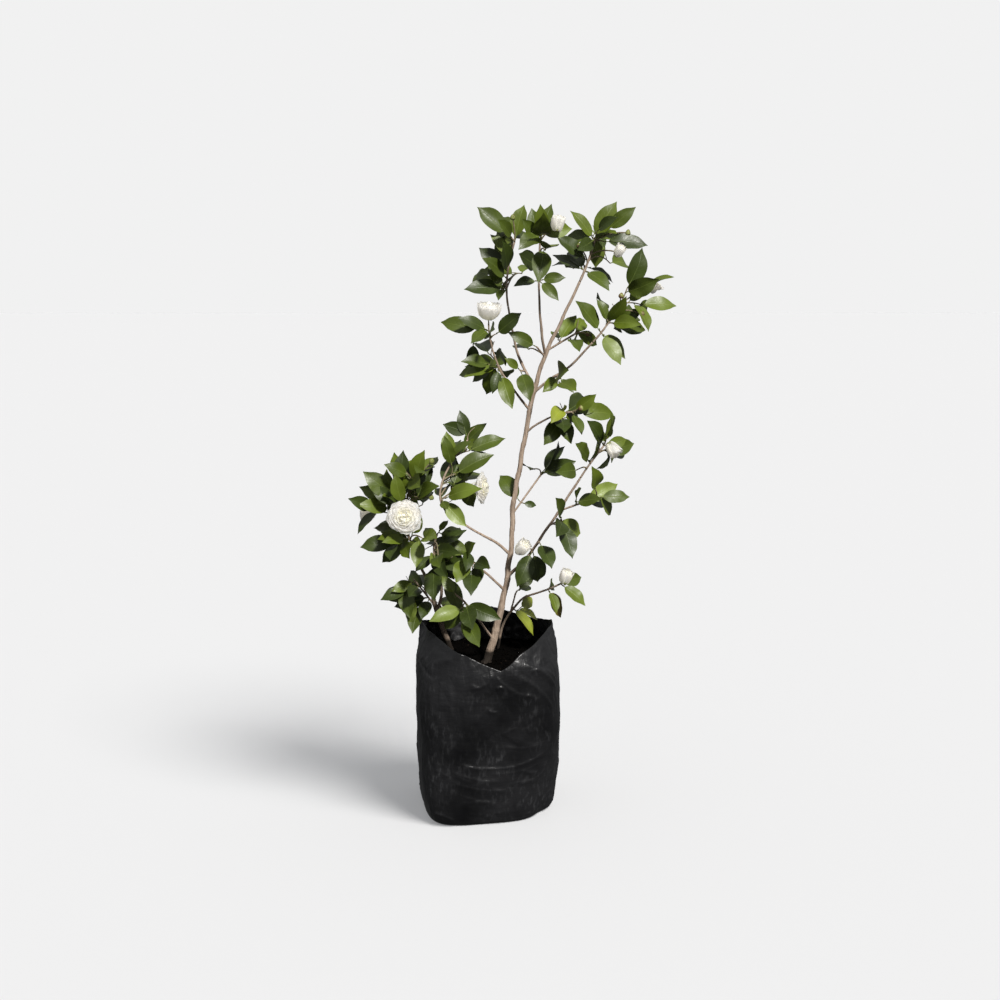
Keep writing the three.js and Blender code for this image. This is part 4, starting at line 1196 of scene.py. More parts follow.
def curveThrough(bends, steps):
    # smooth curve through the bends: from one bend to the next it is
    # x1 + t/2 ((x2 - x0) + t (2 x0 - 5 x1 + 4 x2 - x3) + t^2 (3 (x1 - x2) + x3 - x0))
    spans = len(bends) - 1
    along = np.arange(spans * steps + 1) / steps
    span = np.minimum(along.astype(int), spans - 1)
    share = (along - span)[:, None]
    ends = np.vstack([2 * bends[0] - bends[1], bends, 2 * bends[-1] - bends[-2]])
    before, here, there, after = (ends[span + shift] for shift in range(4))
    curl = share * (3 * (here - there) + after - before)
    swing = share * ((2 * before - 5 * here + 4 * there - after) + curl)
    return here + 0.5 * share * ((there - before) + swing)


def atHeight(limb, height):
    # the point, direction and radius where a limb passes a height
    line, radii = limb["line"], limb["radii"]
    for index in range(len(line) - 1):
        low, high = line[index], line[index + 1]
        if low[2] <= height < high[2]:
            share = (height - low[2]) / (high[2] - low[2])
            return mix(low, high, share), unit(high - low), mix(radii[index], radii[index + 1], share)
    raise ValueError("no point at that height")


def growLimb(spec, grown):
    bends = np.array([bend[:3] for bend in spec["path"]], dtype=float)
    sizes = np.array([bend[3] for bend in spec["path"]], dtype=float)
    if spec["on"]:
        point, _, radius = atHeight(grown[spec["on"]], spec["at"])
        bends = np.vstack([point, bends])
        sizes = np.concatenate([[min(sizes[0] * twig["footSwell"], radius * twig["footShare"])], sizes])
    line = curveThrough(bends, twig["limbSteps"])
    radii = np.interp(np.arange(len(line)) / twig["limbSteps"], np.arange(len(sizes)), sizes)
    return {"on": spec["on"], "bends": bends, "sizes": sizes, "line": line, "radii": radii}


def bezier(start, bend, end, share):
    share = np.asarray(share)[..., None]
    return (1 - share) ** 2 * start + 2 * share * (1 - share) * bend + share ** 2 * end


def twigCurve(start, direction, end):
    # a twig sets off along one direction and bends over to its end
    return start, start + direction * np.linalg.norm(end - start) * twig["bendFirst"], end


def pointOnLine(line, share):
    along = share * (len(line) - 1)
    index = min(int(along), len(line) - 2)
    return mix(line[index], line[index + 1], along - index), unit(line[index + 1] - line[index])


def aside(along, turn):
    # a direction square to a twig: level at no turn, and then round the twig
    sideways = unit(np.cross(along, up))
    return sideways * math.cos(turn) + np.cross(sideways, along) * math.sin(turn)


def makeLeaf(root, direction, length, wander, draw):
    # a leaf's upper face turns to the light and outwards, straying a little
    axis = leaf["leanOfCrown"] * (root[2] - growBag["soil"])
    outward = unit(np.array([root[0] - axis, root[1], 0.0]))
    stray = np.array([draw() - 0.5, draw() - 0.5, draw() - 0.5]) * wander
    return {
        "root": root,
        "direction": direction,
        "length": length,
        "normal": squareTo(leaf["light"] + outward * leaf["outward"] + stray, direction),
        "halfWidth": length * leaf["halfWidth"] * mix(*leaf["widthRange"], draw()),
        "arch": leaf["arch"] * mix(*leaf["archRange"], draw()),
    }


def growSpray(spray, stem, draw):
    tip = np.array(spray["tip"], dtype=float)
    line = stem["line"]
    whole = line[-1] - line[0]
    abreast = (tip - line[0]) @ whole / (whole @ whole)
    share = min(max(abreast - twig["branchBack"], twig["firstBranch"]), 1)
    start, startDirection = pointOnLine(line, share)
    reach = np.linalg.norm(tip - start)
    towards = (tip - start) / reach
    setOff = unit(mix(startDirection, towards, twig["aim"]))
    length = leaf["length"] * mix(*leaf["endLength"], draw())
    bloom = spray.get("flower")
    if bloom:
        end = tip - bloom["face"] * bloom["radius"] * twig["flowerSeat"]
    else:
        length = min(length, reach - leaf["leastTwig"])
        end = tip - towards * length
    curve = twigCurve(start, setOff, end)
    twigLine = bezier(*curve, np.linspace(0, 1, twig["twigSteps"] + 1))
    endLeaf = None if bloom else makeLeaf(end, towards, length, leaf["endWander"], draw)
    sideLeaves = []
    phase = draw() * 360
    for number in range(spray["leaves"]):
        fromEnd = (number + leaf["lastSeat"]) / (spray["leaves"] + 0.5) * leaf["seatSpan"]
        seat, along = pointOnLine(twigLine, 1 - fromEnd)
        turn = math.radians(phase + number * leaf["turnEach"] + (draw() - 0.5) * leaf["turnWander"])
        spread = math.radians(mix(*leaf["spread"], draw()))
        direction = along * math.cos(spread) + math.sin(spread) * aside(along, turn)
        direction = unit(direction - leaf["droop"] * up)
        sideLength = leaf["length"] * mix(*leaf["sideLength"], draw())
        grown = makeLeaf(seat, direction, sideLength, leaf["sideWander"], draw)
        grown["seat"] = bezier(*curve, 1 - fromEnd)
        sideLeaves.append(grown)
    return {
        "tip": tip,
        "curve": curve,
        "line": twigLine,
        "endLeaf": endLeaf,
        "sideLeaves": sideLeaves,
        "flower": bloom,
        "tone": spray.get("tone"),
    }


def growMass(name, spec, grown):
    # one stem carries on from the end of its bough, or stands on a limb's side
    draw = seeded(spec["seed"])
    limb = grown[spec["on"]]
    end = np.array(spec["stem"], dtype=float)
    if spec["at"]:
        foot, _, radius = atHeight(limb, spec["at"])
        direction = unit(end - foot)
        radius = min(twig["stemRadius"], radius * twig["sideShare"])
    else:
        direction = unit(limb["line"][-1] - limb["line"][-2])
        foot = limb["line"][-1] + direction * clearance
        radius = limb["radii"][-1]
    curve = twigCurve(foot, direction, end)
    line = bezier(*curve, np.linspace(0, 1, twig["stemSteps"] + 1))
    stem = {"curve": curve, "line": line, "radius": radius}
    sprays = [growSpray(spray, stem, draw) for spray in spec["sprays"]]
    lines = [line] + [np.vstack([spray["line"], spray["tip"]]) for spray in sprays]
    return {"name": name, "seed": spec["seed"], "stem": stem, "sprays": sprays, "lines": lines}


def straightPieces(lines):
    starts = np.concatenate([line[:-1] for line in lines])
    spans = np.concatenate([np.diff(line, axis=0) for line in lines])
    return starts, spans


def distances(points, starts, spans):
    # to each straight piece: |offset - span * share|, share = offset . span / span . span within 0 to 1
    offset = points[:, None] - starts[None]
    share = np.clip((offset * spans).sum(-1) / (spans * spans).sum(-1), 0, 1)
    return np.linalg.norm(offset - spans * share[..., None], axis=-1)


class Crown:
    # holds where every limb and mass runs, to keep each mass to its own space
    def __init__(self, grownLimbs, grownMasses):
        self.massPieces = straightPieces([line for mass in grownMasses for line in mass["lines"]])
        counts = [sum(len(line) - 1 for line in mass["lines"]) for mass in grownMasses]
        self.firsts = np.concatenate([[0], np.cumsum(counts)[:-1]])
        self.limbPieces = straightPieces([limb["line"] for limb in grownLimbs])
        radii = [limb["radii"] for limb in grownLimbs]
        self.limbRadii = np.concatenate([np.maximum(each[:-1], each[1:]) for each in radii])

    def toMasses(self, points):
        return np.minimum.reduceat(distances(points, *self.massPieces), self.firsts, axis=1)

    def staysInside(self, points, index, gap):
        away = self.toMasses(points)
        others = np.delete(away, index, axis=1).min(1)
        return bool((others > away[:, index] + gap).all())

    def limbDistance(self, points):
        return (distances(points, *self.limbPieces) - self.limbRadii).min()


def leafPoints(blade, along, across, halfWidth):
    side = np.cross(blade["normal"], blade["direction"])
    lift = blade["arch"] * blade["length"] * 4 * along * (1 - along)
    lift = lift + np.abs(across) * leaf["fold"] * halfWidth
    point = blade["root"] + blade["direction"] * (along * blade["length"])[..., None]
    return point + side * (across * halfWidth)[..., None] + blade["normal"] * lift[..., None]


def leafKept(blade, index, placed, crown, apart):
    # a leaf stays where it keeps off its neighbours, in its own mass's space and clear of every limb
    along = np.array(leaf["tested"])[:, None] + np.zeros(3)
    across = np.array([-1.0, 0.0, 1.0]) + 0 * along
    halfWidth = blade["halfWidth"] * np.sin(math.pi * along ** leaf["outline"])
    tip = blade["root"] + blade["direction"] * blade["length"]
    samples = np.vstack([tip, leafPoints(blade, along, across, halfWidth).reshape(-1, 3)])
    middle = leafPoints(blade, np.array([0.5]), np.array([0.0]), blade["halfWidth"])[0]
    if any(np.linalg.norm(other - middle) <= apart * blade["length"] for other in placed):
        return False
    if not crown.staysInside(samples, index, leaf["gap"]) or crown.limbDistance(samples) <= leaf["limbGap"]:
        return False
    placed.append(middle)
    return True


# Finer growth that the solids leave out: short shoots with smaller leaves along each twig

fine = {
    "seedShift": 1000,
    "perSpray": 0.5,  # shoots along each twig, on average
    "crowded": 2.6,  # and in the masses low on the left, where the crown is thickest
    "crowdedMasses": (
        "left_outer", "left_inner", "left_lower", "left_low", "left_foot", "centre_left", "low_left",
    ),
    "seat": (0.25, 0.85),
    "step": 0.05,
    "length": (18, 40),
    "leafLength": (0.72, 0.98),
    "leaves": (1, 2),
    "secondSeat": 0.55,
    "forward": 0.6,
    "open": (35, 75),  # degrees from the twig
    "lift": 0.25,
    "apart": 0.30,
    "reach": 62,  # a leaf's tip stays this near its own mass's lines
    "below": 12,  # and this far below its mass's top
    # a flower's own space: how far in front of it and, in its radii, how far behind it and round its axis
    "ahead": 160,
    "behind": 0.3,
    "around": 1.6,
    "tested": (0.2, 0.6, 1.0),
}


def hidesFlower(blade, flowers):
    # points along the blade, each split into its part along a line and its distance off that line;
    # a flower that faces the front stays open along its own axis and straight ahead
    points = blade["root"] + np.outer(fine["tested"], blade["direction"] * blade["length"])
    for centre, face, radius in flowers:
        for line in (face, np.array([0.0, -1.0, 0.0])):
            along = (points - centre) @ line
            off = np.linalg.norm(points - centre - np.outer(along, line), axis=1)
            near = (along > -fine["behind"] * radius) & (along < fine["ahead"])
            if np.any(near & (off < fine["around"] * radius)):
                return True
    return False


def growShoot(spray, draw, kept):
    # a short shoot off a twig, with a leaf at its end and one or two along it
    share = mix(*fine["seat"], draw())
    start = bezier(*spray["curve"], share)
    after = bezier(*spray["curve"], min(share + fine["step"], 1.0))
    ahead = unit(after - bezier(*spray["curve"], share - fine["step"]))
    turn = draw() * 2 * math.pi
    spread = math.radians(mix(*fine["open"], draw()))
    direction = ahead * math.cos(spread) + math.sin(spread) * aside(ahead, turn)
    direction = unit(direction + fine["lift"] * up)
    curve = twigCurve(start, ahead, start + direction * mix(*fine["length"], draw()))
    end = curve[2]
    size = leaf["length"] * mix(*fine["leafLength"], draw())
    leaves = [makeLeaf(end, unit(end - curve[1]), size, leaf["endWander"], draw)]
    leaves = [blade for blade in leaves if kept(blade)]
    least, more = fine["leaves"]
    for _ in range(int(least + draw() * more)):
        turn = draw() * 2 * math.pi
        out = unit(ahead * fine["forward"] + aside(ahead, turn) - leaf["droop"] * up)
        size = leaf["length"] * mix(*fine["leafLength"], draw())
        blade = makeLeaf(bezier(*curve, fine["secondSeat"]), out, size, leaf["sideWander"], draw)
        if kept(blade):
            leaves.append(blade)
    return curve, leaves


def growFine(mass, spray, index, placed, crown, draw, flowers):
    shoots = []
    top = max(other["tip"][2] for other in mass["sprays"]) - fine["below"]
    crowded = mass["name"].removeprefix("foliage_") in fine["crowdedMasses"]

    def kept(blade):
        return leafKept(blade, index, placed, crown, fine["apart"])

    def inReach(blade):
        tip = blade["root"] + blade["direction"] * blade["length"]
        return tip[2] < top and crown.toMasses(tip[None])[0, index] < fine["reach"]

    for _ in range(int(fine["crowded" if crowded else "perSpray"] + draw())):
        curve, leaves = growShoot(spray, draw, kept)
        near = [blade for blade in leaves if inReach(blade) and not hidesFlower(blade, flowers)]
        if near and crown.limbDistance(bezier(*curve, np.array([0.5, 1.0]))) > twig["limbGap"]:
            shoots.append({"curve": curve, "leaves": near})
    return shoots


def growLeaves(mass, index, crown):
    # the sprays that keep clear of other masses, with their end leaves first and then their side leaves
    placed = []
    mass["clear"] = [
        spray for spray in mass["sprays"]
        if crown.limbDistance(spray["line"][1:]) > twig["limbGap"]
        and crown.staysInside(spray["line"], index, twig["gap"])
    ]
    for spray in mass["clear"]:
        ends = [spray["endLeaf"]] if spray["endLeaf"] else []
        spray["kept"] = [blade for blade in ends if leafKept(blade, index, placed, crown, leaf["apart"])]
    for spray in mass["clear"]:
        for blade in spray["sideLeaves"]:
            if leafKept(blade, index, placed, crown, leaf["apart"]):
                blade["root"] = blade["seat"]
                spray["kept"].append(blade)
    return placed


def growPlant():
    grownLimbs = {}
    for name, spec in limbs.items():
        grownLimbs[name] = growLimb(spec, grownLimbs)
    grownMasses = [growMass(name, spec, grownLimbs) for name, spec in masses.items()]
    crown = Crown(list(grownLimbs.values()), grownMasses)
    blooming = [spray for mass in grownMasses for spray in mass["sprays"] if spray["flower"]]
    flowers = [
        (spray["tip"], spray["flower"]["face"], spray["flower"]["radius"])
        for spray in blooming if spray["flower"]["face"][1] < 0
    ]
    for index, mass in enumerate(grownMasses):
        placed = growLeaves(mass, index, crown)
        draw = seeded(mass["seed"] + fine["seedShift"])
        for spray in mass["clear"]:
            spray["shoots"] = growFine(mass, spray, index, placed, crown, draw, flowers)
    return grownLimbs, grownMasses


# Bark: each limb a fine tube with grooves, rings at its nodes and a collar at its foot

bark = {
    "seed": 17,
    "stepsPerSpan": 22,
    "around": 26,
    "groove": 0.055,  # of the radius
    "grooveWaves": (60, 22, (3.5, 16)),  # first seed, count and lengths
    "grooveStretch": (9, 0.22),  # the radius and the share of the height that the waves run on
    "node": 0.13,
    "nodeWidth": 3.2,
    "nodeEvery": (46, 84),
    "lastNode": 12,
    "collar": 0.32,
    "collarReach": 1.6,
    "kink": 0.9,
    "kinkWaves": (40, 6, (60, 160)),
    "kinkEnds": 60,
    "levelFoot": (26, 8),  # the rings turn level where a stem stands in the mix
    "sunk": 4.0,
}


def kinked(line, run, number):
    # a limb strays sideways along its run, but not at its ends
    firstSeed, *shape = bark["kinkWaves"]
    stray = np.stack([waves(run[:, None], firstSeed + number * 3 + axis, *shape) for axis in range(3)], -1)
    fade = smoothStep(0, bark["kinkEnds"], run) * smoothStep(0, bark["kinkEnds"], run[-1] - run)
    return line + stray * bark["kink"] * fade[:, None]


def nodeSwell(run, draw):
    # a ring at every node: height * exp(-(distance / width)^2)
    swell = np.zeros(len(run))
    spot = draw.uniform(*bark["nodeEvery"])
    while spot < run[-1] - bark["lastNode"]:
        swell += bark["node"] * np.exp(-((run - spot) / bark["nodeWidth"]) ** 2)
        spot += draw.uniform(*bark["nodeEvery"])
    return swell


def makeLimbs(grownLimbs, pile):
    draw = np.random.default_rng(bark["seed"])
    angle = np.arange(bark["around"]) * (fullTurn / bark["around"])
    for number, limb in enumerate(grownLimbs.values()):
        line = curveThrough(limb["bends"], bark["stepsPerSpan"])
        sizes = limb["sizes"]
        radii = np.interp(np.linspace(0, len(sizes) - 1, len(line)), np.arange(len(sizes)), sizes)
        run = np.concatenate([[0], np.cumsum(np.linalg.norm(np.diff(line, axis=0), axis=1))])
        line = kinked(line, run, number)
        foot = bark["collar"] * np.exp(-run / (bark["collarReach"] * sizes[0])) if limb["on"] else 0.0
        radii = radii * (1 + nodeSwell(run, draw) + foot)
        wide, high = bark["grooveStretch"]
        flat = 0 * run[:, None]
        places = np.stack([np.cos(angle) * wide + flat, np.sin(angle) * wide + flat,
                           high * run[:, None] + 0 * angle], -1)
        firstSeed, *shape = bark["grooveWaves"]
        relief = bark["groove"] * waves(places, firstSeed + number, *shape)
        rings = carriedRings(line[None], (radii[:, None] * (1 + relief))[None], bark["around"])
        if not limb["on"]:
            share = smoothStep(*bark["levelFoot"], run)[None, :, None]
            heights = np.broadcast_to(line[None, :, None, 2], rings.shape[:3])
            rings[..., 2] = mix(rings[..., 2], heights, share)
            rings[:, 0, :, 2] -= bark["sunk"]
        pile.add(rings)


# Twigs: stems of the masses, their sprays and the fine shoots, each a tapering tube

wood = {
    "rows": 14,
    "around": 8,
    "stemRows": 26,
    "stemAround": 12,
    "shootAround": 6,
    # thickness at the foot and at the tip
    "stemTip": 2.1,
    "twig": (1.9, 1.2),
    "shoot": (1.15, 0.8),
    "knots": (0.09, 12, (5, 26)),
    "seeds": (5, 6),
}


def knotty(lines, radii, seed):
    # small swellings along a twig, from noise on its own places
    height, count, sizes = wood["knots"]
    return radii * (1 + height * waves(lines, seed, count, sizes))


def taperedLines(curves, thickness, rows):
    share = np.linspace(0, 1, rows)
    lines = np.stack([bezier(*curve, share) for curve in curves])
    return lines, mix(*thickness, share)[None] + np.zeros((len(curves), 1))


def makeTwigs(grownMasses, oldWood, youngWood):
    stemSeed, twigSeed = wood["seeds"]
    for mass in grownMasses:
        radius = mass["stem"]["radius"]
        thickness = (radius, min(radius, wood["stemTip"]))
        lines, radii = taperedLines([mass["stem"]["curve"]], thickness, wood["stemRows"])
        oldWood.add(carriedRings(lines, knotty(lines, radii, stemSeed), wood["stemAround"]))
    sprays = [spray for mass in grownMasses for spray in mass["clear"]]
    lines, radii = taperedLines([spray["curve"] for spray in sprays], wood["twig"], wood["rows"])
    youngWood.add(carriedRings(lines, knotty(lines, radii, twigSeed), wood["around"]))
    shoots = [shoot["curve"] for spray in sprays for shoot in spray["shoots"]]
    lines, radii = taperedLines(shoots, wood["shoot"], wood["rows"])
    youngWood.add(carriedRings(lines, radii, wood["shootAround"]))


# Leaves: a folded, arched blade with a drawn-out tip, its two faces meeting in a thin edge

blades = {
    "seed": 23,
    "rows": 15,
    "petiole": 0.085,  # of the length
    "widest": 0.43,
    "baseRound": 0.70,  # power of the outline at its base
    "tipPinch": 0.34,
    "pinchSpan": (0.74, 0.95),
    "thickness": 0.5,
    "wave": 0.020,
    "leastWave": 0.2,
    "edgeShift": 0.25,  # how far the two edges' waves are apart
    "beats": (1.3, 2.6),  # waves along an edge
    "curl": 0.075,
    "curlSpan": (0.45, 1.0),
    "curlPower": 1.5,
    "curlRange": (-0.3, 1.0),
    "sway": 0.045,
    "teeth": 0.003,
    "teethTo": 0.85,
    "foldRange": (0.6, 1.9),
    "keel": (0.01, 0.1),  # rounds the fold along the midrib: its size squared, and its size
    "seedShift": 2000,
    "sameTone": 0.6,  # share of a spray's leaves in the spray's own tone
    "tones": (("deep", 0.30), ("middle", 0.66), ("fresh", 0.93), ("pale", 0.985), ("rusty", 2)),
    # across a blade, over its upper face and back under it, with the points and faces below marked by 1
    "across": (1.0, 0.5, 0.0, -0.5, -1.0, -0.5, 0.0, 0.5),
    "under": (0, 0, 0, 0, 0, 1, 1, 1),
    "sides": (0, 0, 0, 0, 1, 1, 1, 1),
    "edges": (0, 4),
}

# places along the blade and radii: of the stalk that runs on under the blade as its midrib, and of the
# small pointed bud in the angle of each stalk, by its own length
stalk = {
    "places": (-0.092, -0.05, 0.0, 0.12, 0.3, 0.55, 0.8),
    "radii": (1.25, 1.0, 0.95, 0.8, 0.62, 0.42, 0.2),
    "below": 0.75,
    "belowSpan": (-0.02, 0.1),
    "around": 6,
    "budPlaces": (0.0, 1.6, 3.4, 5.2, 6.6),
    "budRadii": (0.8, 1.3, 1.25, 0.75, 0.2),
    "budSize": (0.7, 1.15),
    "budLean": 0.9,
}


def outline(along):
    # half width along a leaf: (a/m)^p ((1-a)/(1-m))^q with its widest at m, pinched in before the tip
    widest, basePower = blades["widest"], blades["baseRound"]
    tipPower = basePower * (1 - widest) / widest
    width = (along / widest) ** basePower * ((1 - along) / (1 - widest)) ** tipPower
    return width * (1 - blades["tipPinch"] * smoothStep(*blades["pinchSpan"], along))


def pickTone(value):
    return next(name for name, upTo in blades["tones"] if value < upTo)


def gatherLeaves(grownMasses):
    gathered = []
    for mass in grownMasses:
        draw = seeded(mass["seed"] + blades["seedShift"])
        for spray in mass["clear"]:
            own = spray["tone"]
            tone = own or pickTone(draw())
            shootLeaves = [blade for shoot in spray["shoots"] for blade in shoot["leaves"]]
            for blade in spray["kept"] + shootLeaves:
                kept = own or draw() < blades["sameTone"]
                blade["tone"] = toneNames.index(tone if kept else pickTone(draw()))
                gathered.append(blade)
    return gathered


def makeLeaves(gathered, leafPile, stalkPile):
    count = len(gathered)
    draw = np.random.default_rng(blades["seed"])

    def column(key):
        return np.array([blade[key] for blade in gathered], dtype=float)

    def perLeaf(values):
        return values[:, None, None]

    def amount(key, low=0.0):
        return blades[key] * perLeaf(draw.uniform(low, 1.0, count)) * perLeaf(draw.choice([-1, 1], count))

    root, direction, normal = column("root"), column("direction"), column("normal")
    length, halfWidth, arch = (perLeaf(column(key)) for key in ("length", "halfWidth", "arch"))
    side = np.cross(normal, direction)
    rows = blades["rows"]
    along = np.linspace(0, 1, rows + 2)[1:-1]
    width = outline(along)
    width *= 1 + blades["teeth"] * np.where(np.arange(rows) % 2, 1, -1) * (along < blades["teethTo"])
    wave = amount("wave", blades["leastWave"])
    sway = amount("sway")
    curl = blades["curl"] * perLeaf(draw.uniform(*blades["curlRange"], count))
    phase = perLeaf(draw.uniform(0, 1, count))
    beats = perLeaf(draw.uniform(*blades["beats"], count))
    fold = leaf["fold"] * perLeaf(draw.uniform(*blades["foldRange"], count))

    def surface(along, across, width, under):
        # midrib: straight run + arch 4r(1-r) - curl at the tip, swaying sideways by its place squared;
        # blade: V fold that rises with |across|, and a wave along each edge
        run = blades["petiole"] + (1 - blades["petiole"]) * along
        spread = np.abs(across)
        curled = smoothStep(*blades["curlSpan"], along) ** blades["curlPower"]
        lift = arch * length * 4 * run * (1 - run) - curl * length * curled
        keelSquared, keel = blades["keel"]
        lift = lift + (np.sqrt(spread ** 2 + keelSquared) - keel) * fold * halfWidth * width
        turns = beats * along + phase + blades["edgeShift"] * np.sign(across)
        lift = lift + wave * length * spread * np.sin(2 * math.pi * turns)
        lift = lift - under * blades["thickness"]
        shift = across * halfWidth * width + sway * length * along * along
        return (perLeaf(root) + perLeaf(direction) * (run * length)[..., None]
                + perLeaf(side) * shift[..., None] + perLeaf(normal) * lift[..., None])

    def midrib(places):
        places = np.array(places)[None, :, None] + np.zeros((count, 1, 1))
        return surface(places, 0 * places, 0 * places, 0)[:, :, 0]

    places = along[None, :, None] + np.zeros((count, 1, len(blades["across"])))
    across = np.broadcast_to(np.array(blades["across"]), places.shape)
    rings = surface(places, across, width[None, :, None], np.array(blades["under"]))
    tones = np.array([blade["tone"] for blade in gathered])
    slots = tones[:, None] * 2 + np.tile(blades["sides"], rows + 1)[None]
    leafPile.add(rings, midrib((0.0, 1.0)), slots, shapeOf(across, places), blades["edges"])

    radius = np.array(stalk["radii"])
    lines = midrib(stalk["places"])
    below = radius * stalk["below"] * smoothStep(*stalk["belowSpan"], np.array(stalk["places"]))
    lines -= normal[:, None] * below[None, :, None]
    stalkPile.add(carriedRings(lines, radius[None] + np.zeros((count, 1)), stalk["around"], normal))
    axis = unit(direction + stalk["budLean"] * normal)
    size = draw.uniform(*stalk["budSize"], count)
    steps = np.array(stalk["budPlaces"])[None, :, None] * perLeaf(size)
    budLines = lines[:, 0][:, None] + axis[:, None] * steps
    budRadii = np.array(stalk["budRadii"])[None] * size[:, None]
    stalkPile.add(carriedRings(budLines, budRadii, stalk["around"]), slots=1)


def shapeOf(across, along):
    # the two values that a finish follows: across and along from 0 to 1, and the same for the poles
    count = len(along)
    shape = np.stack([0.5 + 0.5 * across, along], -1).reshape(count, -1, 2)
    return np.concatenate([shape, np.tile([[[0.5, 0.0], [0.5, 1.0]]], (count, 1, 1))], 1)


# Flowers: petals set round the middle by the golden angle, from a tight heart to a wide rim

blooms = {
    # foot, outer petals' bend and tip, inner petals' bend and tip, as parts of the radius (out, up)
    # sepals: how many, their reach and half width. core: the top and radius of the closed heart
    "open": {
        "foot": (0.10, -0.42), "outer": ((0.60, 0.00), (1.0, -0.16)), "inner": ((0.04, 0.30), (0.10, 0.27)),
        "petals": 42, "width": (0.20, 0.44), "cup": (0.12, -0.10), "spreadPower": 0.62,
        "sepals": (7, 0.42, 0.336), "core": (0.1, 0.34),
    },
    "cup": {
        "foot": (0.10, -0.85), "outer": ((0.92, -0.72), (1.02, 0.34)), "inner": ((0.20, 0.05), (0.10, 0.40)),
        "petals": 38, "width": (0.20, 0.46), "cup": (0.15, 0.24), "spreadPower": 0.62,
        "sepals": (7, 0.42, 0.336), "core": (0.45, 0.34),
    },
    "half": {
        "foot": (0.12, -0.92), "outer": ((0.72, -0.72), (0.80, 0.78)), "inner": ((0.30, -0.1), (0.14, 0.88)),
        "petals": 15, "width": (0.34, 0.54), "cup": (0.30, 0.34), "spreadPower": 0.75,
        "sepals": (7, 0.60, 0.48), "core": (0.45, 0.34),
    },
    "bud": {
        "foot": (0.10, -0.92), "outer": ((1.15, -0.70), (0.30, 0.42)), "inner": ((0.9, -0.1), (0.04, 0.72)),
        "petals": 0, "sepals": (9, 1.0, 0.62), "core": (0.45, 0.62),
    },
}

petal = {
    "seed": 29,
    "rows": 8,
    "reach": 0.985,  # the last row, as a share of the spine
    "outline": (0.10, 0.72, 0.6),
    "thickness": 0.4,
    "goldenAngle": 137.508,
    "stray": 0.0175,
    "turnStray": 0.08,
    "widthStray": (0.9, 1.1),
    "wave": 0.018,
    "waveBeats": (3.0, 5.0),  # across and along a petal
    "phases": 6.28,
    "footPull": (0.3, 1),  # the spine starts this share of the foot's place out and down
    "footShift": (0.25, -0.06),  # and the outermost petals this much further, by the radius
    "strayBy": (0, 0.6, 1),  # how much of the stray the foot, the bend and the tip take
    "tipWidth": 0.66,
    # how far the corners of the last and the last but one row stay back, which rounds the rim
    "rimBack": (0.30, 0.10),
    "heart": 0.55,  # the petals inside this share of the spiral are cream
    "across": (1.0, 0.75, 0.5, 0.25, 0.0, -0.25, -0.5, -0.75, -1.0, -0.5, 0.0, 0.5),
    "under": (0, 0, 0, 0, 0, 0, 0, 0, 0, 1, 1, 1),
    "edges": (0, 8),
}
sepal = {"least": 0.15, "cup": 0.45, "sunk": 0.05, "brown": 0.3}
core = {"foot": -0.8, "rows": 7, "around": 12, "round": 0.96}


def petalShells(centre, axis, radius, bends, widths, cups, turns, draw):
    # a petal's spine is a bent line in the plane of the flower's axis: foot, bend, tip. Across it,
    # the half width is W sin(pi (start + run s))^power, and its edges lift by cup * half width * across^2
    count = len(turns)
    first = squareTo(up if abs(axis[2]) < 0.9 else np.array([1.0, 0, 0]), axis)
    second = np.cross(axis, first)
    out = np.cos(turns)[:, None] * first + np.sin(turns)[:, None] * second
    aroundAxis = np.cross(axis, out)
    steps = np.linspace(0, 1, petal["rows"] + 1)[1:] * petal["reach"]
    share = steps[None, :, None]
    foot, bend, tip = (bends[:, part][:, None] for part in range(3))
    spine = (1 - share) ** 2 * foot + 2 * share * (1 - share) * bend + share ** 2 * tip
    slope = unit(2 * (1 - share) * (bend - foot) + 2 * share * (tip - bend))
    rise = np.stack([-slope[..., 1], slope[..., 0]], -1)
    across = np.array(petal["across"])[None, None]
    start, run, power = petal["outline"]
    half = widths[:, None] * np.sin(math.pi * (start + run * steps))[None] ** power
    half[:, -1] *= petal["tipWidth"]
    phase = draw.uniform(0, petal["phases"], count)[:, None, None]
    lift = cups[:, None, None] * half[..., None] * across ** 2
    beatAcross, beatAlong = petal["waveBeats"]
    lift = lift + petal["wave"] * np.sin(beatAcross * across + beatAlong * share + phase)
    lift = lift - np.array(petal["under"]) * petal["thickness"] / radius
    back = np.zeros_like(lift)
    for row, amount in zip((-1, -2), petal["rimBack"]):
        back[:, row] = amount * widths[:, None] * across[0] ** 2
    outward, upward = (
        spine[..., None, part] + rise[..., None, part] * lift - slope[..., None, part] * back
        for part in range(2)
    )
    sideways = half[..., None] * across
    points = (out[:, None, None] * outward[..., None] + axis * upward[..., None]
              + aroundAxis[:, None, None] * sideways[..., None])
    return centre + points * radius, shapeOf(across + 0 * lift, share + 0 * lift)


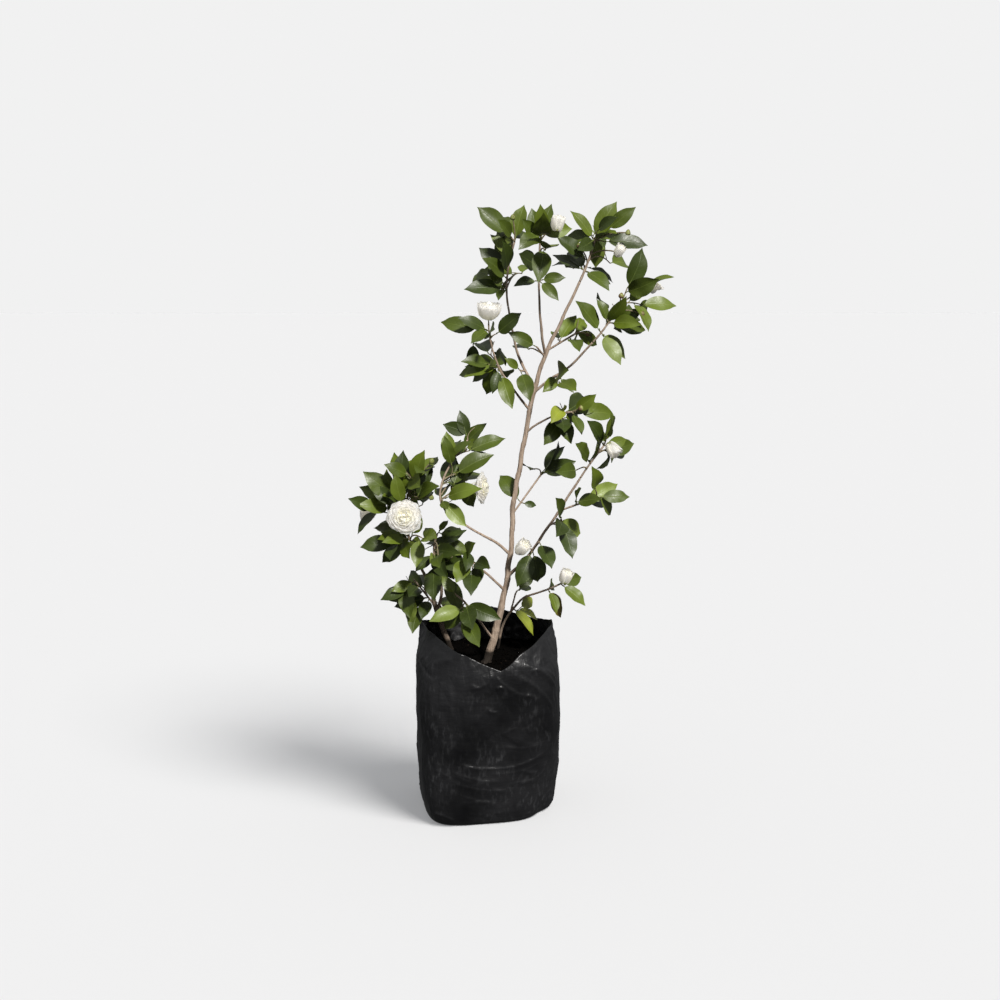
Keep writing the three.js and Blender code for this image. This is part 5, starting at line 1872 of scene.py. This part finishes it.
def makeFlower(bloom, centre, petalPile, sepalPile, draw):
    kind = blooms[bloom["kind"]]
    radius, axis = bloom["radius"], bloom["face"]
    footPoint = np.array(kind["foot"])

    def shells(share, widths, cups, scale=1.0, sunk=0.0):
        # share is 0 for the innermost petal and 1 for the outermost
        count = len(share)
        bend, tip = (
            footPoint + (mix(np.array(inner), np.array(outer), share[:, None]) - footPoint) * scale
            for inner, outer in zip(kind["inner"], kind["outer"])
        )
        foot = footPoint * petal["footPull"] + share[:, None] * petal["footShift"]
        stray = draw.normal(0, petal["stray"], (count, 3, 2)) * np.array(petal["strayBy"])[:, None]
        bends = np.stack([foot, bend, tip], 1) + stray - np.array([0, sunk])
        turns = np.arange(count) * math.radians(petal["goldenAngle"])
        turns = turns + draw.normal(0, petal["turnStray"], count)
        return petalShells(centre, axis, radius, bends, widths, cups, turns, draw)

    count = kind["petals"]
    if count:
        share = (np.arange(count) / (count - 1)) ** kind["spreadPower"]
        widths = mix(*kind["width"], share) * draw.uniform(*petal["widthStray"], count)
        rings, shape = shells(share, widths, mix(*kind["cup"], share))
        heart = (share < petal["heart"]).astype(int)
        petalPile.add(rings, None, heart[:, None], shape, petal["edges"])
    # sepals clasp the foot, or close the whole bud
    count, reach, width = kind["sepals"]
    share = np.linspace(sepal["least"], 1.0, count)
    rings, shape = shells(share, np.full(count, width), np.full(count, sepal["cup"]), reach, sepal["sunk"])
    tones = (draw.uniform(size=count) < sepal["brown"]).astype(int)
    sepalPile.add(rings, None, tones[:, None], shape, petal["edges"])
    # a closed heart inside, so that nothing shows through: radius * sqrt(1 - place^2)
    top, girth = kind["core"]
    steps = np.linspace(core["foot"], top, core["rows"])
    place = (steps - steps.mean()) / (steps[-1] - steps.mean()) * core["round"]
    bulge = girth * radius * np.sqrt(np.maximum(1 - place ** 2, 0))
    line = centre + axis * (steps * radius)[:, None]
    pile = petalPile if kind["petals"] else sepalPile
    middle = np.full((1, core["rows"] * core["around"] + 2, 2), 0.5)
    pile.add(carriedRings(line[None], bulge[None], core["around"]), None, 0, middle)


def makeFlowers(grownMasses, petalPile, sepalPile):
    draw = np.random.default_rng(petal["seed"])
    for mass in grownMasses:
        for spray in mass["clear"]:
            if spray["flower"]:
                makeFlower(spray["flower"], spray["tip"], petalPile, sepalPile, draw)


# Making it all

placeCamera()
lightWorld()
floor = layFloor()
addLamp("plantLamp", floor, False)
addLamp("floorLamp", floor, True)
print("studio ready")
makeGrowBag()
makeMix()
makeChips()

grownLimbs, grownMasses = growPlant()
leaves = gatherLeaves(grownMasses)
print("grown:", len(leaves), "leaves")

barkTan = barkMaterial("tanBark", (0.50, 0.39, 0.30), (0.25, 0.18, 0.135), (0.62, 0.52, 0.42), 260.0, 0.0008)
barkTwig = barkMaterial("twigBark", (0.36, 0.29, 0.19), (0.17, 0.14, 0.08), (0.45, 0.38, 0.26), 420.0, 0.0005)
barkPile = Pile("barkLimbs", "bark", [barkTan])
oldWood = Pile("massStems", "bark", [barkTan])
youngWood = Pile("twigs", "bark", [barkTwig])
makeLimbs(grownLimbs, barkPile)
makeTwigs(grownMasses, oldWood, youngWood)
barkPile.build(*grownLimbs)
oldWood.build()
youngWood.build()

leafMaterials = []
for name, (upper, vein, below) in leafFinish["tones"].items():
    leafMaterials.append(leafMaterial(name + "Upper", upper, vein, *leafFinish["upper"]))
    leafMaterials.append(leafMaterial(name + "Under", below, vein, *leafFinish["under"]))
leafPile = Pile("leaves", "foliage", leafMaterials)
stalkPile = Pile("leafStalks", "foliage", [
    stalkMaterial("leafStalk", (0.22, 0.27, 0.07), (0.15, 0.19, 0.04), 0.45),
    stalkMaterial("leafBud", (0.17, 0.20, 0.05), (0.10, 0.11, 0.03), 0.5),
])
makeLeaves(leaves, leafPile, stalkPile)
leafPile.build(*masses)
stalkPile.build()

petalPile = Pile("petals", "foliage", [
    petalMaterial("whitePetal", (0.95, 0.93, 0.89), (0.94, 0.92, 0.78), (0.82, 0.74, 0.60)),
    petalMaterial("creamPetal", (0.95, 0.925, 0.81), (0.93, 0.89, 0.60), (0.86, 0.80, 0.62)),
])
sepalPile = Pile("sepals", "foliage", [
    stalkMaterial("greenSepal", (0.36, 0.38, 0.13), (0.20, 0.23, 0.06), 0.5),
    stalkMaterial("brownSepal", (0.20, 0.12, 0.06), (0.10, 0.06, 0.03), 0.6),
])
makeFlowers(grownMasses, petalPile, sepalPile)
petalPile.build()
sepalPile.build()

bpy.context.view_layer.update()
